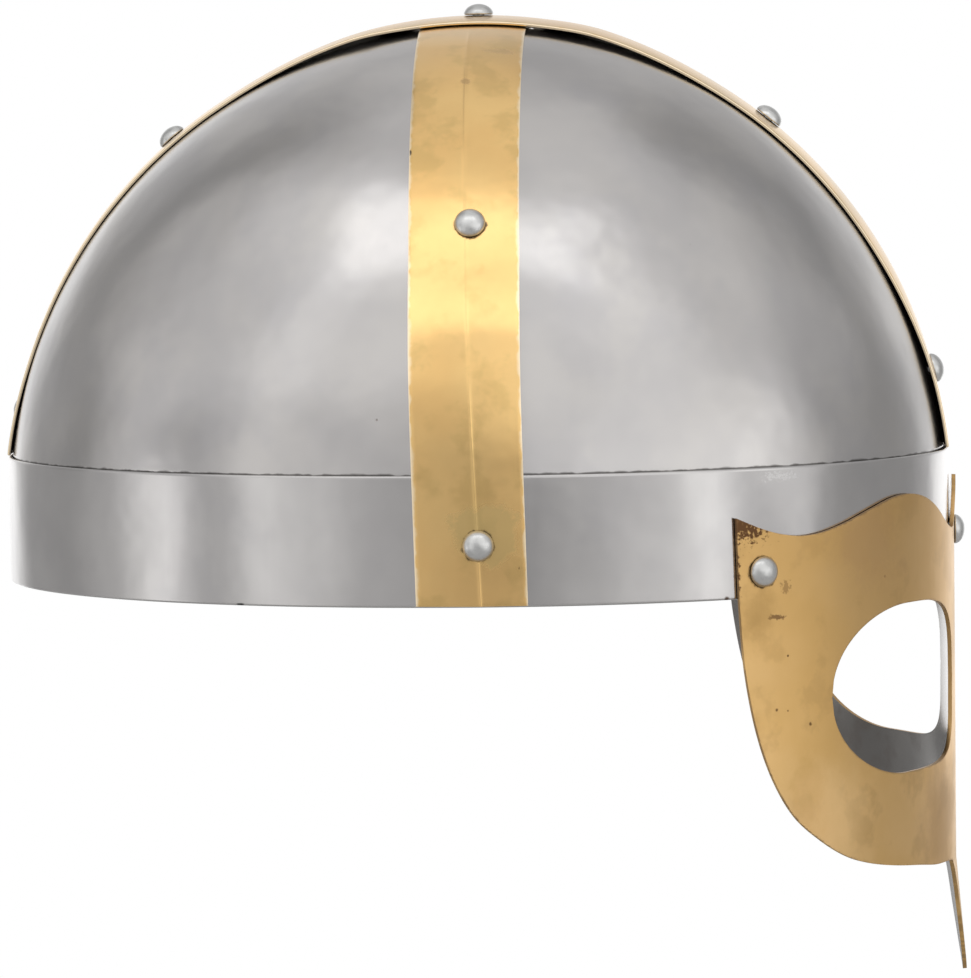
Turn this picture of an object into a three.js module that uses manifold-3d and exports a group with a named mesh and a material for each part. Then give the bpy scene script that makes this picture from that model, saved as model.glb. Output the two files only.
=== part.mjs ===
// Spangenhelm: four steel dome plates in a steel brow band, two brass strips over the seams,
// and a brass spectacle guard with a pointed nasal. Millimetres, +Z up, the face looks along +X.
// The origin lies in the middle of the head opening, level with the lower edge of the brow band.
import * as THREE from 'three';
import { mergeVertices } from 'three/addons/utils/BufferGeometryUtils.js';
import Module from 'manifold-3d';

const wasm = await Module();
wasm.setup();

// Driving dimensions of the dome, an ellipsoid whose front and back halves differ in length
const PLAN_CENTRE_X = 2.0;
const DOME = { front: 115.0, back: 118.9, side: 96.2, centreZ: 16.8, height: 119.6 };
const PLATE_THICKNESS = 1.2;
const PLATE_BOTTOM_Z = 2.5;
const DOME_WALL_TOP_Z = 31;
const SEAM_HALF_GAP = 0.2;

// Brow band
const BAND = { front: 115.6, back: 119.4, side: 97.5 };
const BAND_HEIGHT = 30.9;
const BAND_THICKNESS = 1.0;

// Strips: both are bent along a shallow crease
const FIT_GAP = 0.3;
const STRIP_HALF_WIDTH = 13;
const STRIP_THICKNESS = 0.8;
const STRIP_CREASE = 0.6;
const CROSSING_HALF_LENGTH = 15;
const CROSSING_FADE = 16;
const CREST_SLACK = 0.6;
const CREST_LIFT = STRIP_THICKNESS + FIT_GAP + CREST_SLACK;
const CREST_LIFT_FADE = 50;
const CREST_CREASE = { front: 0.6, back: 0.2, noneZ: 35, fullZ: 75 };

// The crest strip's right-hand edge has sprung off the dome a little, most of all at its ends
const SPRUNG_FRONT = { upper: 0.4, upperX: [30, 70], lower: 1.3, lowerZ: [42, 88] };
const SPRUNG_BACK = { lower: 0.6, lowerZ: [31, 60] };
const CROSS_STRIP_TOP_X = 1.0;
const CROSS_STRIP_LEAN = 0.024;
const CREASE_TOP_X = 0.5;
const CREASE_LEAN = 0.043;
const CROSS_STRIP_BEND_TOP_Z = 47;
const CROSS_STRIP_BEND_END_Z = 33;
const CROSS_STRIP_BOTTOM_Z = 0.4;

// Face guard, drawn flat: s runs along the band from the middle of the guard, z is the height.
// The guard is riveted on a little towards the wearer's left.
const GUARD_THICKNESS = 1.0;
const GUARD_SHIFT = 3;
const GUARD_TOP = [
  [0, 23.4], [4.4, 19.2], [7.6, 14.2], [10.6, 11.8], [15.5, 11.4], [22.5, 13.1], [31.9, 17.8], [39.5, 20.6],
  [47.3, 21.9], [55, 21.5], [64, 19.3], [73.5, 16.5], [81, 14.8], [87, 14.3], [93, 14.9], [99, 16.5],
  [106.9, 19.5],
];
const GUARD_BOTTOM = [
  [0, -101.1], [5.4, -95], [9.8, -86], [12.8, -77], [16.2, -71.9], [22, -70.8], [33.7, -70.2], [44, -69],
  [55.7, -67.7], [65.4, -66.1], [74, -63.5], [82.5, -58.8], [90.4, -52.4], [96.5, -43], [100.9, -31.3],
  [103.9, -16.9], [105.6, -2.6], [106.5, 8.8], [106.9, 19.5],
];
const GUARD_OUTLINE_STEPS = 24;
const EYE = { s: 49.3, z: -25, inner: 33, outer: 29.3, halfHeight: 20.6, innerPower: 3, outerPower: 2.05 };
const EYE_STEPS = 9;
const SMALLEST_COLUMN = 0.25;
const EYE_FOOT = 2;
const NASAL_ROOT_Z = -72;
const NASAL_FLARE = 0.09;
const TAB_HALF_WIDTH = 10.6;
const TAB_ROOT_Z = 12;
const TAB_FLARE = 0.05;

// Rivets: domed heads outside, the shank through all sheets, a small burr inside
const RIVET = { headRadius: 3.7, headHeight: 2.7, shankRadius: 1.5, burrRadius: 2.5, burrHeight: 0.8 };
const RIVET_HOLE_RADIUS = 1.85;
const HOLE_SIDES = 8;
const RIVET_SIDES = 12;
const RIVET_HEAD_STEPS = 3;
const BAND_BURR_CLEARANCE = 0.4;
const HOLE_OVERRUN = 4;
const TOP_RIVET_X = 1.7;
const CREST_RIVETS = {
  front_upper: { degrees: 52.3, y: 0 },
  front_lower: { degrees: 16, y: 0 },
  back_upper: { degrees: 130.0, y: 0 },
  back_lower: { degrees: 168.2, y: 9 },
};
const CROSS_RIVETS = { upper: { x: 3.7, z: 88.3 }, lower: { x: 5.9, z: 14.6 } };
const GUARD_RIVET_MIDDLE_Z = 9.7;
const GUARD_RIVET_CORNER = { s: 98.9, z: 6.4 };

// Facet counts
const PLATE_COLUMNS = 14;
const PLATE_ROWS = 13;
const BAND_COLUMNS = 84;
const CREST_STATIONS = 46;
const CROSS_STATIONS = 19;
const CROSS_BEND_STATIONS = 7;
const STRIP_COLUMNS = [-1, -0.5, 0, 0.5, 1];

const STEEL = { color: 0xb4b0ad, roughness: 0.32, metalness: 1 };
const RIVET_STEEL = { color: 0xc8c8c6, roughness: 0.28, metalness: 1 };
const BRASS = { color: 0xcda86a, roughness: 0.34, metalness: 1 };
const GUARD_BRASS = { color: 0xba9360, roughness: 0.4, metalness: 1 };

const smoothstep = THREE.MathUtils.smoothstep;
const lerp = THREE.MathUtils.lerp;

// Plain geometry helpers

// A BufferGeometry from triangles of points; welds them and drops the ones without area
function geometryFromTriangles(triangles) {
  const positions = triangles.flatMap((triangle) => triangle.flatMap((p) => [p.x, p.y, p.z]));
  const soup = new THREE.BufferGeometry();
  soup.setAttribute('position', new THREE.Float32BufferAttribute(positions, 3));
  const welded = mergeVertices(soup, 1e-4);
  const index = Array.from(welded.index.array);
  const kept = [];
  for (let i = 0; i < index.length; i += 3) {
    const [a, b, c] = index.slice(i, i + 3);
    if (a !== b && b !== c && c !== a) kept.push(a, b, c);
  }
  welded.setIndex(kept);
  return welded;
}

// The two triangles of a four-sided face
function quad(a, b, c, d) {
  return [[a, b, c], [a, c, d]];
}

// A closed sheet between two grids of points, outer and inner, row by row
function sheetGeometry(outer, inner, closedRows = false) {
  const triangles = [];
  const rows = outer.length;
  const columns = outer[0].length;
  const lastColumn = closedRows ? columns : columns - 1;
  for (let j = 0; j < lastColumn; j += 1) {
    const k = (j + 1) % columns;
    for (let i = 0; i < rows - 1; i += 1) {
      triangles.push(...quad(outer[i][j], outer[i][k], outer[i + 1][k], outer[i + 1][j]));
      triangles.push(...quad(inner[i][j], inner[i + 1][j], inner[i + 1][k], inner[i][k]));
    }
    triangles.push(...quad(outer[0][k], outer[0][j], inner[0][j], inner[0][k]));
    triangles.push(...quad(outer[rows - 1][j], outer[rows - 1][k], inner[rows - 1][k], inner[rows - 1][j]));
  }
  if (!closedRows) {
    for (let i = 0; i < rows - 1; i += 1) {
      const e = columns - 1;
      triangles.push(...quad(outer[i][0], outer[i + 1][0], inner[i + 1][0], inner[i][0]));
      triangles.push(...quad(outer[i + 1][e], outer[i][e], inner[i][e], inner[i + 1][e]));
    }
  }
  return geometryFromTriangles(triangles);
}

// Signed volume, to turn a geometry's faces outward
function signedVolume(geometry) {
  const p = geometry.attributes.position;
  const index = geometry.index.array;
  const [a, b, c] = [new THREE.Vector3(), new THREE.Vector3(), new THREE.Vector3()];
  let volume = 0;
  for (let i = 0; i < index.length; i += 3) {
    a.fromBufferAttribute(p, index[i]);
    b.fromBufferAttribute(p, index[i + 1]);
    c.fromBufferAttribute(p, index[i + 2]);
    volume += a.dot(b.cross(c)) / 6;
  }
  return volume;
}

// A solid from a closed geometry, its faces turned outward
function solidFrom(geometry) {
  const bare = new THREE.BufferGeometry();
  bare.setAttribute('position', geometry.attributes.position.clone());
  if (geometry.index) bare.setIndex(Array.from(geometry.index.array));
  const welded = mergeVertices(bare, 1e-4);
  const index = Uint32Array.from(welded.index.array);
  if (signedVolume(welded) < 0) {
    for (let i = 0; i < index.length; i += 3) [index[i], index[i + 1]] = [index[i + 1], index[i]];
  }
  const vertProperties = Float32Array.from(welded.attributes.position.array);
  return new wasm.Manifold(new wasm.Mesh({ numProp: 3, vertProperties, triVerts: index }));
}

function geometryFromSolid(solid) {
  const mesh = solid.getMesh();
  const geometry = new THREE.BufferGeometry();
  geometry.setAttribute('position', new THREE.BufferAttribute(mesh.vertProperties, 3));
  geometry.setIndex(Array.from(mesh.triVerts));
  return geometry;
}

// Surfaces of the dome and of the band

function halfLength(form, x) {
  return x > PLAN_CENTRE_X ? form.front : form.back;
}

// A point of the dome's outer surface and its outward normal, from a point relative to its centre
function domePoint(x, y, z) {
  const a = halfLength(DOME, x);
  const normal = new THREE.Vector3((x - PLAN_CENTRE_X) / a ** 2, y / DOME.side ** 2,
    (z - DOME.centreZ) / DOME.height ** 2).normalize();
  return { point: new THREE.Vector3(x, y, z), normal };
}

// The dome cut by the plane of one y: the point at an angle counted from the front over the top
function domeAtY(y, angle) {
  const scale = Math.sqrt(1 - (y / DOME.side) ** 2);
  const a = Math.cos(angle) > 0 ? DOME.front : DOME.back;
  const x = PLAN_CENTRE_X + a * scale * Math.cos(angle);
  return domePoint(x, y, DOME.centreZ + DOME.height * scale * Math.sin(angle));
}

// The dome cut by the plane of one x: the point at one height, on the right or left side
function domeAtX(x, z, side) {
  const rise = (z - DOME.centreZ) / DOME.height;
  const along = (x - PLAN_CENTRE_X) / halfLength(DOME, x);
  const y = side * DOME.side * Math.sqrt(Math.max(0, 1 - rise ** 2 - along ** 2));
  return domePoint(x, y, z);
}

// The outside of the band at one x
function bandAtX(x, z, side) {
  const a = halfLength(BAND, x);
  const y = side * BAND.side * Math.sqrt(1 - ((x - PLAN_CENTRE_X) / a) ** 2);
  const normal = new THREE.Vector3((x - PLAN_CENTRE_X) / a ** 2, y / BAND.side ** 2, 0).normalize();
  return { point: new THREE.Vector3(x, y, z), normal };
}

function bandAtAngle(angle, z) {
  const a = Math.cos(angle) > 0 ? BAND.front : BAND.back;
  const x = a * Math.cos(angle);
  const y = BAND.side * Math.sin(angle);
  const normal = new THREE.Vector3(x / a ** 2, y / BAND.side ** 2, 0).normalize();
  return { point: new THREE.Vector3(PLAN_CENTRE_X + x, y, z), normal };
}

function offset({ point, normal }, distance) {
  return point.clone().addScaledVector(normal, distance);
}

// Dome plates: one quarter each, a wall inside the band and the domed part above it

function domePlate(lengthSign, side) {
  const topOfWall = (DOME_WALL_TOP_Z - DOME.centreZ) / DOME.height;
  const startAngle = Math.asin(topOfWall);
  const levels = [{ z: PLATE_BOTTOM_Z, scale: Math.cos(startAngle), wall: true }];
  for (let i = 0; i < PLATE_ROWS; i += 1) {
    const angle = lerp(startAngle, Math.PI / 2, i / (PLATE_ROWS - 1));
    const z = DOME.centreZ + DOME.height * Math.sin(angle);
    levels.push({ z, scale: Math.max(0, Math.cos(angle)), wall: i === 0 });
  }
  const a = lengthSign > 0 ? DOME.front : DOME.back;
  const outer = [];
  const inner = [];
  for (const level of levels) {
    const outerRow = [];
    const innerRow = [];
    for (let j = 0; j <= PLATE_COLUMNS; j += 1) {
      const turn = (j / PLATE_COLUMNS) * (Math.PI / 2);
      const x = lengthSign * a * level.scale * Math.cos(turn);
      const y = side * DOME.side * level.scale * Math.sin(turn);
      const rise = level.wall ? 0 : (level.z - DOME.centreZ) / DOME.height ** 2;
      const normal = new THREE.Vector3(x / a ** 2, y / DOME.side ** 2, rise).normalize();
      const point = new THREE.Vector3(PLAN_CENTRE_X + x, y, level.z);
      point.x += lengthSign * SEAM_HALF_GAP;
      point.y += side * SEAM_HALF_GAP;
      outerRow.push(point);
      innerRow.push(offset({ point, normal }, -PLATE_THICKNESS));
    }
    outer.push(outerRow);
    inner.push(innerRow);
  }
  return solidFrom(sheetGeometry(outer, inner));
}

function browBand() {
  const outer = [];
  const inner = [];
  for (const z of [0, BAND_HEIGHT]) {
    const ring = [];
    for (let j = 0; j < BAND_COLUMNS; j += 1) ring.push(bandAtAngle((j / BAND_COLUMNS) * 2 * Math.PI, z));
    outer.push(ring.map((p) => p.point));
    inner.push(ring.map((p) => offset(p, -BAND_THICKNESS)));
  }
  return solidFrom(sheetGeometry(outer, inner, true));
}

// Strips: how far the outer face stands off the dome, along the strip and across it

function crossingShare(distance) {
  return 1 - smoothstep(distance, CROSSING_HALF_LENGTH, CROSSING_HALF_LENGTH + CROSSING_FADE);
}

// How far the crest strip's right-hand edge has sprung off the dome, x along the helmet from the crossing
function sprungEdge(x, z) {
  if (x < 0) return SPRUNG_BACK.lower * (1 - smoothstep(z, ...SPRUNG_BACK.lowerZ));
  const upper = SPRUNG_FRONT.upper * smoothstep(x, ...SPRUNG_FRONT.upperX);
  return lerp(SPRUNG_FRONT.lower, upper, smoothstep(z, ...SPRUNG_FRONT.lowerZ));
}

// The outer face of the crest strip at an angle, t from -1 to 1 across it
function crestSurface(angle, t) {
  const place = domeAtY(t * STRIP_HALF_WIDTH, angle);
  const ridge = domeAtY(0, angle).point;
  const x = ridge.x - CROSS_STRIP_TOP_X;
  const crossing = crossingShare(Math.abs(x));
  const fading = smoothstep(Math.abs(x), CROSSING_HALF_LENGTH, CROSSING_HALF_LENGTH + CREST_LIFT_FADE);
  const lift = CREST_LIFT * (1 - fading);
  const { front, back, noneZ, fullZ } = CREST_CREASE;
  const crease = x < 0 ? back : front * smoothstep(ridge.z, noneZ, fullZ);
  const middle = lift + crease * (1 - crossing);
  const edge = t < 0 ? lift + sprungEdge(x, ridge.z) : CREST_LIFT * crossing;
  return { ...place, height: FIT_GAP + STRIP_THICKNESS + lerp(middle, edge, Math.abs(t)) };
}

function crestStrip() {
  const endRise = (BAND_HEIGHT + FIT_GAP - DOME.centreZ) / DOME.height;
  const start = Math.asin(endRise);
  const outer = [];
  const inner = [];
  for (let i = 0; i <= CREST_STATIONS; i += 1) {
    const angle = lerp(start, Math.PI - start, i / CREST_STATIONS);
    const across = STRIP_COLUMNS.map((t) => crestSurface(angle, t));
    outer.push(across.map((p) => offset(p, p.height)));
    inner.push(across.map((p) => offset(p, p.height - STRIP_THICKNESS)));
  }
  for (const end of [0, CREST_STATIONS]) {
    for (const row of [outer[end], inner[end]]) row.forEach((p) => { p.z = BAND_HEIGHT + FIT_GAP; });
  }
  return solidFrom(sheetGeometry(outer, inner));
}

// The outer face of the cross strip at a height, x across it, on one side
function crossSurface(x, z, side) {
  const drop = DOME.centreZ + DOME.height - z;
  const creaseX = CREASE_TOP_X + CREASE_LEAN * drop;
  const middleX = CROSS_STRIP_TOP_X + CROSS_STRIP_LEAN * drop;
  const edgeX = middleX + Math.sign(x - creaseX) * STRIP_HALF_WIDTH;
  const fromCrease = x === creaseX ? 0 : (x - creaseX) / (edgeX - creaseX);
  const dome = domeAtX(x, Math.max(z, DOME_WALL_TOP_Z), side);
  const band = bandAtX(x, z, side);
  const overBand = 1 - smoothstep(z, CROSS_STRIP_BEND_END_Z, CROSS_STRIP_BEND_TOP_Z);
  const point = new THREE.Vector3(x, lerp(dome.point.y, band.point.y, overBand), z);
  const normal = dome.normal.clone().lerp(band.normal, overBand).normalize();
  const free = 1 - crossingShare(Math.abs(dome.point.y));
  return { point, normal, height: FIT_GAP + STRIP_THICKNESS + STRIP_CREASE * free * (1 - fromCrease) };
}

function crossStripRow(z, side) {
  const drop = DOME.centreZ + DOME.height - z;
  const creaseX = CREASE_TOP_X + CREASE_LEAN * drop;
  const middleX = CROSS_STRIP_TOP_X + CROSS_STRIP_LEAN * drop;
  const low = middleX - STRIP_HALF_WIDTH;
  const high = middleX + STRIP_HALF_WIDTH;
  const columns = [low, (low + creaseX) / 2, creaseX, (creaseX + high) / 2, high];
  return columns.map((x) => crossSurface(x, z, side));
}

// Over the very top a row is set by its y, because there the dome is flat
function crossStripTopRow(y) {
  const columns = STRIP_COLUMNS.map((t) => CROSS_STRIP_TOP_X + t * STRIP_HALF_WIDTH);
  return columns.map((x) => {
    const along = (x - PLAN_CENTRE_X) / halfLength(DOME, x);
    const z = DOME.centreZ + DOME.height * Math.sqrt(1 - along ** 2 - (y / DOME.side) ** 2);
    return { ...domePoint(x, y, z), height: FIT_GAP + STRIP_THICKNESS };
  });
}

function crossStrip() {
  const sideLevels = [CROSS_STRIP_BOTTOM_Z, BAND_HEIGHT / 2];
  for (let i = 0; i <= CROSS_BEND_STATIONS; i += 1) {
    sideLevels.push(lerp(CROSS_STRIP_BEND_END_Z - 1, CROSS_STRIP_BEND_TOP_Z, i / CROSS_BEND_STATIONS));
  }
  const topY = CROSSING_HALF_LENGTH;
  const startAngle = Math.asin((CROSS_STRIP_BEND_TOP_Z - DOME.centreZ) / DOME.height);
  const endAngle = Math.acos(topY / DOME.side);
  for (let i = 1; i < CROSS_STATIONS; i += 1) {
    sideLevels.push(DOME.centreZ + DOME.height * Math.sin(lerp(startAngle, endAngle, i / CROSS_STATIONS)));
  }
  const right = sideLevels.map((z) => crossStripRow(z, -1));
  const left = sideLevels.map((z) => crossStripRow(z, 1)).reverse();
  const top = [-topY, -topY / 2, 0, topY / 2, topY].map((y) => crossStripTopRow(y));
  const rows = [...right, ...top, ...left];
  const outer = rows.map((row) => row.map((p) => offset(p, p.height)));
  const inner = rows.map((row) => row.map((p) => offset(p, p.height - STRIP_THICKNESS)));
  return solidFrom(sheetGeometry(outer, inner));
}

// Face guard: the flat outline is laid around the band

// Arc length along the guard's outer face, tabulated against the angle in plan
const GUARD_OUTER = BAND.front + FIT_GAP + GUARD_THICKNESS;
const GUARD_SIDE = BAND.side + FIT_GAP + GUARD_THICKNESS;
const ARC_STEPS = 600;
const arcTable = [0];
for (let i = 1; i <= ARC_STEPS; i += 1) {
  const angle = ((i - 0.5) / ARC_STEPS) * (Math.PI / 2);
  const speed = Math.hypot(GUARD_OUTER * Math.sin(angle), GUARD_SIDE * Math.cos(angle));
  arcTable.push(arcTable[i - 1] + speed * (Math.PI / 2 / ARC_STEPS));
}

function planAngle(s) {
  const length = Math.abs(s);
  let i = 1;
  while (i < ARC_STEPS && arcTable[i] < length) i += 1;
  const share = (length - arcTable[i - 1]) / (arcTable[i] - arcTable[i - 1]);
  return Math.sign(s) * ((i - 1 + share) / ARC_STEPS) * (Math.PI / 2);
}

// A point of the guard: s along it, z up, depth out from the band
function guardPoint(s, z, depth) {
  const point = offset(bandAtAngle(planAngle(s + GUARD_SHIFT), z), depth);
  if (z < NASAL_ROOT_Z) point.x += NASAL_FLARE * (NASAL_ROOT_Z - z);
  if (z > TAB_ROOT_Z && Math.abs(s) < TAB_HALF_WIDTH) point.x += TAB_FLARE * (z - TAB_ROOT_Z);
  return point;
}

// A smooth line through outline points, as a list of [s, z]
function smoothLine(points) {
  const curve = new THREE.SplineCurve(points.map(([s, z]) => new THREE.Vector2(s, z)));
  return curve.getPoints(GUARD_OUTLINE_STEPS).map((p) => [p.x, p.y]);
}

// The height of a line at one s
function heightAt(line, s) {
  let i = 1;
  while (i < line.length - 1 && line[i][0] < s) i += 1;
  const share = THREE.MathUtils.clamp((s - line[i - 1][0]) / (line[i][0] - line[i - 1][0]), 0, 1);
  return lerp(line[i - 1][1], line[i][1], share);
}

// Half the height of the eye hole at one s, zero outside it
function eyeHalfHeight(s) {
  const inward = s < EYE.s;
  const share = Math.min(1, Math.abs(s - EYE.s) / (inward ? EYE.inner : EYE.outer));
  const power = inward ? EYE.innerPower : EYE.outerPower;
  return EYE.halfHeight * Math.max(0, 1 - share ** power) ** (1 / power);
}

// Where the guard is cut into upright columns: at each outline point and around the eye hole
function guardColumns(top, bottom) {
  const stops = [...top, ...bottom].map(([s]) => s);
  for (let i = 0; i <= EYE_STEPS; i += 1) {
    const turn = Math.cos((i / EYE_STEPS) * (Math.PI / 2));
    stops.push(EYE.s - EYE.inner * turn, EYE.s + EYE.outer * turn);
  }
  stops.sort((p, q) => p - q);
  const eyeEnds = [EYE.s - EYE.inner, EYE.s + EYE.outer];
  const kept = [];
  for (const s of stops) {
    const last = kept[kept.length - 1];
    if (kept.length === 0 || s - last > SMALLEST_COLUMN) kept.push(s);
    else if (eyeEnds.includes(s)) kept[kept.length - 1] = s;
  }
  kept[kept.length - 1] = stops[stops.length - 1];
  return kept;
}

// The heights at which a column is divided, from its foot to its head; the eye hole lies between
// the level EYE_FOOT and the next one
function guardLevels(s, top, bottom) {
  const head = heightAt(top, s);
  const foot = Math.min(head, heightAt(bottom, s));
  const opening = eyeHalfHeight(s);
  const middle = THREE.MathUtils.clamp(EYE.z, foot, head);
  const tabRoot = s < TAB_HALF_WIDTH ? Math.min(head, TAB_ROOT_Z) : head;
  const cheek = Math.max(foot, Math.min(NASAL_ROOT_Z, middle));
  return [foot, cheek, middle - opening, middle + opening, tabRoot, head];
}

function faceGuard() {
  const top = smoothLine(GUARD_TOP);
  const bottom = smoothLine(GUARD_BOTTOM);
  const half = guardColumns(top, bottom).filter((s) => s > 0);
  const columns = [...half.map((s) => -s).reverse(), 0, ...half];
  const levels = columns.map((s) => guardLevels(Math.abs(s), top, bottom));
  const outer = columns.map((s, i) => levels[i].map((z) => guardPoint(s, z, FIT_GAP + GUARD_THICKNESS)));
  const inner = columns.map((s, i) => levels[i].map((z) => guardPoint(s, z, FIT_GAP)));
  const triangles = [];
  for (let i = 0; i < columns.length - 1; i += 1) {
    const k = i + 1;
    const open = [i, k].some((c) => levels[c][EYE_FOOT + 1] > levels[c][EYE_FOOT]);
    for (let j = 0; j < levels[i].length - 1; j += 1) {
      if (j === EYE_FOOT) continue;
      triangles.push(...quad(outer[i][j], outer[k][j], outer[k][j + 1], outer[i][j + 1]));
      triangles.push(...quad(inner[i][j], inner[i][j + 1], inner[k][j + 1], inner[k][j]));
    }
    const last = levels[i].length - 1;
    triangles.push(...quad(outer[k][0], outer[i][0], inner[i][0], inner[k][0]));
    triangles.push(...quad(outer[i][last], outer[k][last], inner[k][last], inner[i][last]));
    if (open) {
      const [low, high] = [EYE_FOOT, EYE_FOOT + 1];
      triangles.push(...quad(outer[i][low], outer[k][low], inner[k][low], inner[i][low]));
      triangles.push(...quad(outer[k][high], outer[i][high], inner[i][high], inner[k][high]));
    }
  }
  return solidFrom(geometryFromTriangles(triangles));
}

// Rivets

// A rivet stands at a place, its head this far out from it and its burr this far in
function rivetGeometry({ place, headOut, burrIn }) {
  const profile = [new THREE.Vector2(0, -burrIn - RIVET.burrHeight)];
  profile.push(new THREE.Vector2(RIVET.burrRadius, -burrIn - RIVET.burrHeight / 2));
  profile.push(new THREE.Vector2(RIVET.burrRadius, -burrIn));
  profile.push(new THREE.Vector2(RIVET.shankRadius, -burrIn));
  profile.push(new THREE.Vector2(RIVET.shankRadius, headOut));
  for (let i = 0; i <= RIVET_HEAD_STEPS; i += 1) {
    const angle = (i / RIVET_HEAD_STEPS) * (Math.PI / 2);
    const radius = i === RIVET_HEAD_STEPS ? 0 : RIVET.headRadius * Math.cos(angle);
    profile.push(new THREE.Vector2(radius, headOut + RIVET.headHeight * Math.sin(angle)));
  }
  const geometry = new THREE.LatheGeometry(profile, RIVET_SIDES);
  const turn = new THREE.Quaternion().setFromUnitVectors(new THREE.Vector3(0, 1, 0), place.normal);
  geometry.applyQuaternion(turn);
  geometry.translate(place.point.x, place.point.y, place.point.z);
  return geometry;
}

// The cutter for a rivet's hole, longer than the stack of sheets
function holeSolid({ place, headOut, burrIn }) {
  const length = headOut + burrIn + HOLE_OVERRUN;
  const geometry = new THREE.CylinderGeometry(RIVET_HOLE_RADIUS, RIVET_HOLE_RADIUS, length, HOLE_SIDES);
  geometry.translate(0, (headOut - burrIn) / 2, 0);
  const turn = new THREE.Quaternion().setFromUnitVectors(new THREE.Vector3(0, 1, 0), place.normal);
  geometry.applyQuaternion(turn);
  geometry.translate(place.point.x, place.point.y, place.point.z);
  return solidFrom(geometry);
}

// The rivets by name, each with the sheets that its shank goes through
function listRivets() {
  const quarters = ['front_right', 'front_left', 'back_right', 'back_left'];
  const plates = quarters.map((quarter) => `dome_plate_${quarter}`);
  const insideDome = PLATE_THICKNESS + FIT_GAP;
  const rivets = [];
  const topPlace = domeAtY(0, Math.acos((TOP_RIVET_X - PLAN_CENTRE_X) / DOME.back));
  const topHeight = crestSurface(Math.PI / 2, 0).height;
  rivets.push({ name: 'rivet_top', place: topPlace, headOut: topHeight + FIT_GAP, burrIn: insideDome,
    sheets: ['crest_strip', 'cross_strip', ...plates] });
  for (const [where, { degrees, y }] of Object.entries(CREST_RIVETS)) {
    const angle = THREE.MathUtils.degToRad(degrees);
    const headOut = crestSurface(angle, 0).height + FIT_GAP;
    rivets.push({ name: `rivet_crest_${where}`, place: domeAtY(y, angle), headOut, burrIn: insideDome,
      sheets: ['crest_strip', ...plates] });
  }
  const insideBand = BAND.side - DOME.side + PLATE_THICKNESS + FIT_GAP + BAND_BURR_CLEARANCE;
  const guardHeadOut = FIT_GAP + GUARD_THICKNESS + FIT_GAP;
  const bandSheets = ['brow_band', ...plates];
  for (const [sideName, side] of [['right', -1], ['left', 1]]) {
    const { upper, lower } = CROSS_RIVETS;
    const stack = FIT_GAP + STRIP_THICKNESS + STRIP_CREASE + FIT_GAP;
    rivets.push({ name: `rivet_cross_upper_${sideName}`, place: domeAtX(upper.x, upper.z, side),
      headOut: stack, burrIn: insideDome, sheets: ['cross_strip', ...plates] });
    rivets.push({ name: `rivet_cross_lower_${sideName}`, place: bandAtX(lower.x, lower.z, side),
      headOut: stack, burrIn: insideBand, sheets: ['cross_strip', ...bandSheets] });
    const cornerAngle = planAngle(side * GUARD_RIVET_CORNER.s + GUARD_SHIFT);
    rivets.push({ name: `rivet_guard_${sideName}`, place: bandAtAngle(cornerAngle, GUARD_RIVET_CORNER.z),
      headOut: guardHeadOut, burrIn: insideBand, sheets: ['face_guard', ...bandSheets] });
  }
  rivets.push({ name: 'rivet_guard_middle', place: bandAtAngle(planAngle(GUARD_SHIFT), GUARD_RIVET_MIDDLE_Z),
    headOut: guardHeadOut, burrIn: insideBand, sheets: ['face_guard', ...bandSheets] });
  return rivets;
}

// Assembly

const sheets = {
  dome_plate_front_right: { solid: domePlate(1, -1), look: STEEL },
  dome_plate_front_left: { solid: domePlate(1, 1), look: STEEL },
  dome_plate_back_right: { solid: domePlate(-1, -1), look: STEEL },
  dome_plate_back_left: { solid: domePlate(-1, 1), look: STEEL },
  brow_band: { solid: browBand(), look: STEEL },
  cross_strip: { solid: crossStrip(), look: BRASS },
  crest_strip: { solid: crestStrip(), look: BRASS },
  face_guard: { solid: faceGuard(), look: GUARD_BRASS },
};

const helmet = new THREE.Group();

function addMesh(name, geometry, look) {
  geometry.computeVertexNormals();
  const mesh = new THREE.Mesh(geometry, new THREE.MeshStandardMaterial(look));
  mesh.name = name;
  helmet.add(mesh);
}

for (const rivet of listRivets()) {
  const hole = holeSolid(rivet);
  for (const name of rivet.sheets) sheets[name].solid = sheets[name].solid.subtract(hole);
  addMesh(rivet.name, geometryFromSolid(solidFrom(rivetGeometry(rivet))), RIVET_STEEL);
}
for (const [name, { solid, look }] of Object.entries(sheets)) {
  addMesh(name, geometryFromSolid(solid), look);
}

export default helmet;
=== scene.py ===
"""Looks of a spangenhelm helmet: polished steel dome and band, brass strips and a brass face guard.

Lengths in the classes are millimetres, as in the part's own source; meshes are made in metres.
"""

from __future__ import annotations

import itertools
import logging
import math
from contextlib import contextmanager
from dataclasses import dataclass, field
from enum import Enum
from typing import Callable, Iterator, Sequence

import bmesh
import bpy
from mathutils import Matrix, Vector
from mathutils.kdtree import KDTree

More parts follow.
